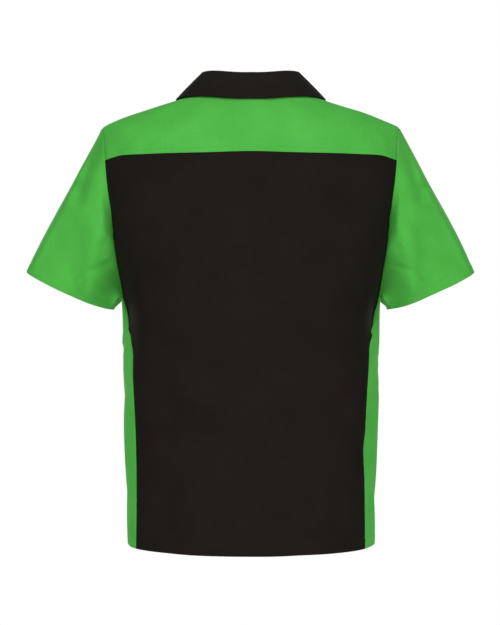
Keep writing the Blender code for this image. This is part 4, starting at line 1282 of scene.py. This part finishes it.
# ================================================================ floor, light and camera
# A plain pale floor well under the shirt, which hangs as if held at the shoulders, soft light
# from all round, four large soft lamps over eye level and one overhead, and a camera level with
# the chest.
FLOOR = -1.25
FLOOR_RADIUS = 1.5
floor_mesh = bmesh.new()
bmesh.ops.create_circle(floor_mesh, cap_ends=True, radius=FLOOR_RADIUS, segments=128)
bmesh.ops.translate(floor_mesh, vec=(0, 0, FLOOR), verts=floor_mesh.verts)
# Matt white paint, rolled on: it scatters the light evenly and shows no shine.
paint, tree, shader = new_material("matt_white_paint")
feed(tree, shader, {"Base Color": colour("#F4F4F2"), "Roughness": 0.9, "Specular IOR Level": 0.1})
floor = finished("floor", floor_mesh, paint)

AMBIENT = 0.22
WHITE = (1, 1, 1, 1)
world = bpy.data.worlds.new("studio")
bpy.context.scene.world = world
world.use_nodes = True
tree = world.node_tree
background = tree.nodes["Background"]
feed(tree, background, {"Color": WHITE, "Strength": AMBIENT})
backdrop = add(tree, "ShaderNodeBackground", None, {"Color": WHITE, "Strength": 1.0})
seen = add(tree, "ShaderNodeLightPath").outputs["Is Camera Ray"]
inputs = {0: seen, 1: background.outputs[0], 2: backdrop.outputs[0]}
chosen = add(tree, "ShaderNodeMixShader", None, inputs)
feed(tree, tree.nodes["World Output"], {"Surface": chosen.outputs[0]})

AIM = Vector((0, 0, -0.373))
LAMP_DISTANCE = 2.6
LAMP_SIZE = 1.8
LAMPS = (  # azimuth from the front and elevation in degrees, and watts
    (151, 9, 33), (209, 9, 33), (29, 9, 33), (331, 9, 33), (180, 90, 22),
)
for azimuth, elevation, power in LAMPS:
    lamp = bpy.data.lights.new(f"softbox_{azimuth}_{elevation}", "AREA")
    lamp.shape = "SQUARE"
    lamp.size = LAMP_SIZE
    lamp.energy = power
    stand = bpy.data.objects.new(lamp.name, lamp)
    turn, rise = math.radians(azimuth), math.radians(elevation)
    level = Vector((math.sin(turn), -math.cos(turn), 0)) * math.cos(rise)
    away = level + Vector((0, 0, math.sin(rise)))
    stand.location = AIM + away * LAMP_DISTANCE
    stand.rotation_euler = away.to_track_quat("Z", "Y").to_euler()
    bpy.context.scene.collection.objects.link(stand)

CAMERA_DISTANCE = 2.4
PHOTO_HEIGHT = 625  # pixels
VIEW_HEIGHT = PHOTO_HEIGHT * 0.0017  # at 1.70 mm each
CAMERA_SHIFT = -0.8  # pixels, by which the shirt's middle is off the photograph's
SENSOR = 36.0
lens = bpy.data.cameras.new("camera")
lens.sensor_width = SENSOR
lens.lens = SENSOR * CAMERA_DISTANCE / VIEW_HEIGHT
lens.shift_x = CAMERA_SHIFT / PHOTO_HEIGHT
camera = bpy.data.objects.new("camera", lens)
camera.location = AIM + Vector((0, CAMERA_DISTANCE, 0))
camera.rotation_euler = (math.radians(90), 0, math.radians(180))
bpy.context.scene.collection.objects.link(camera)
bpy.context.scene.camera = camera
bpy.context.scene.view_settings.view_transform = "Standard"
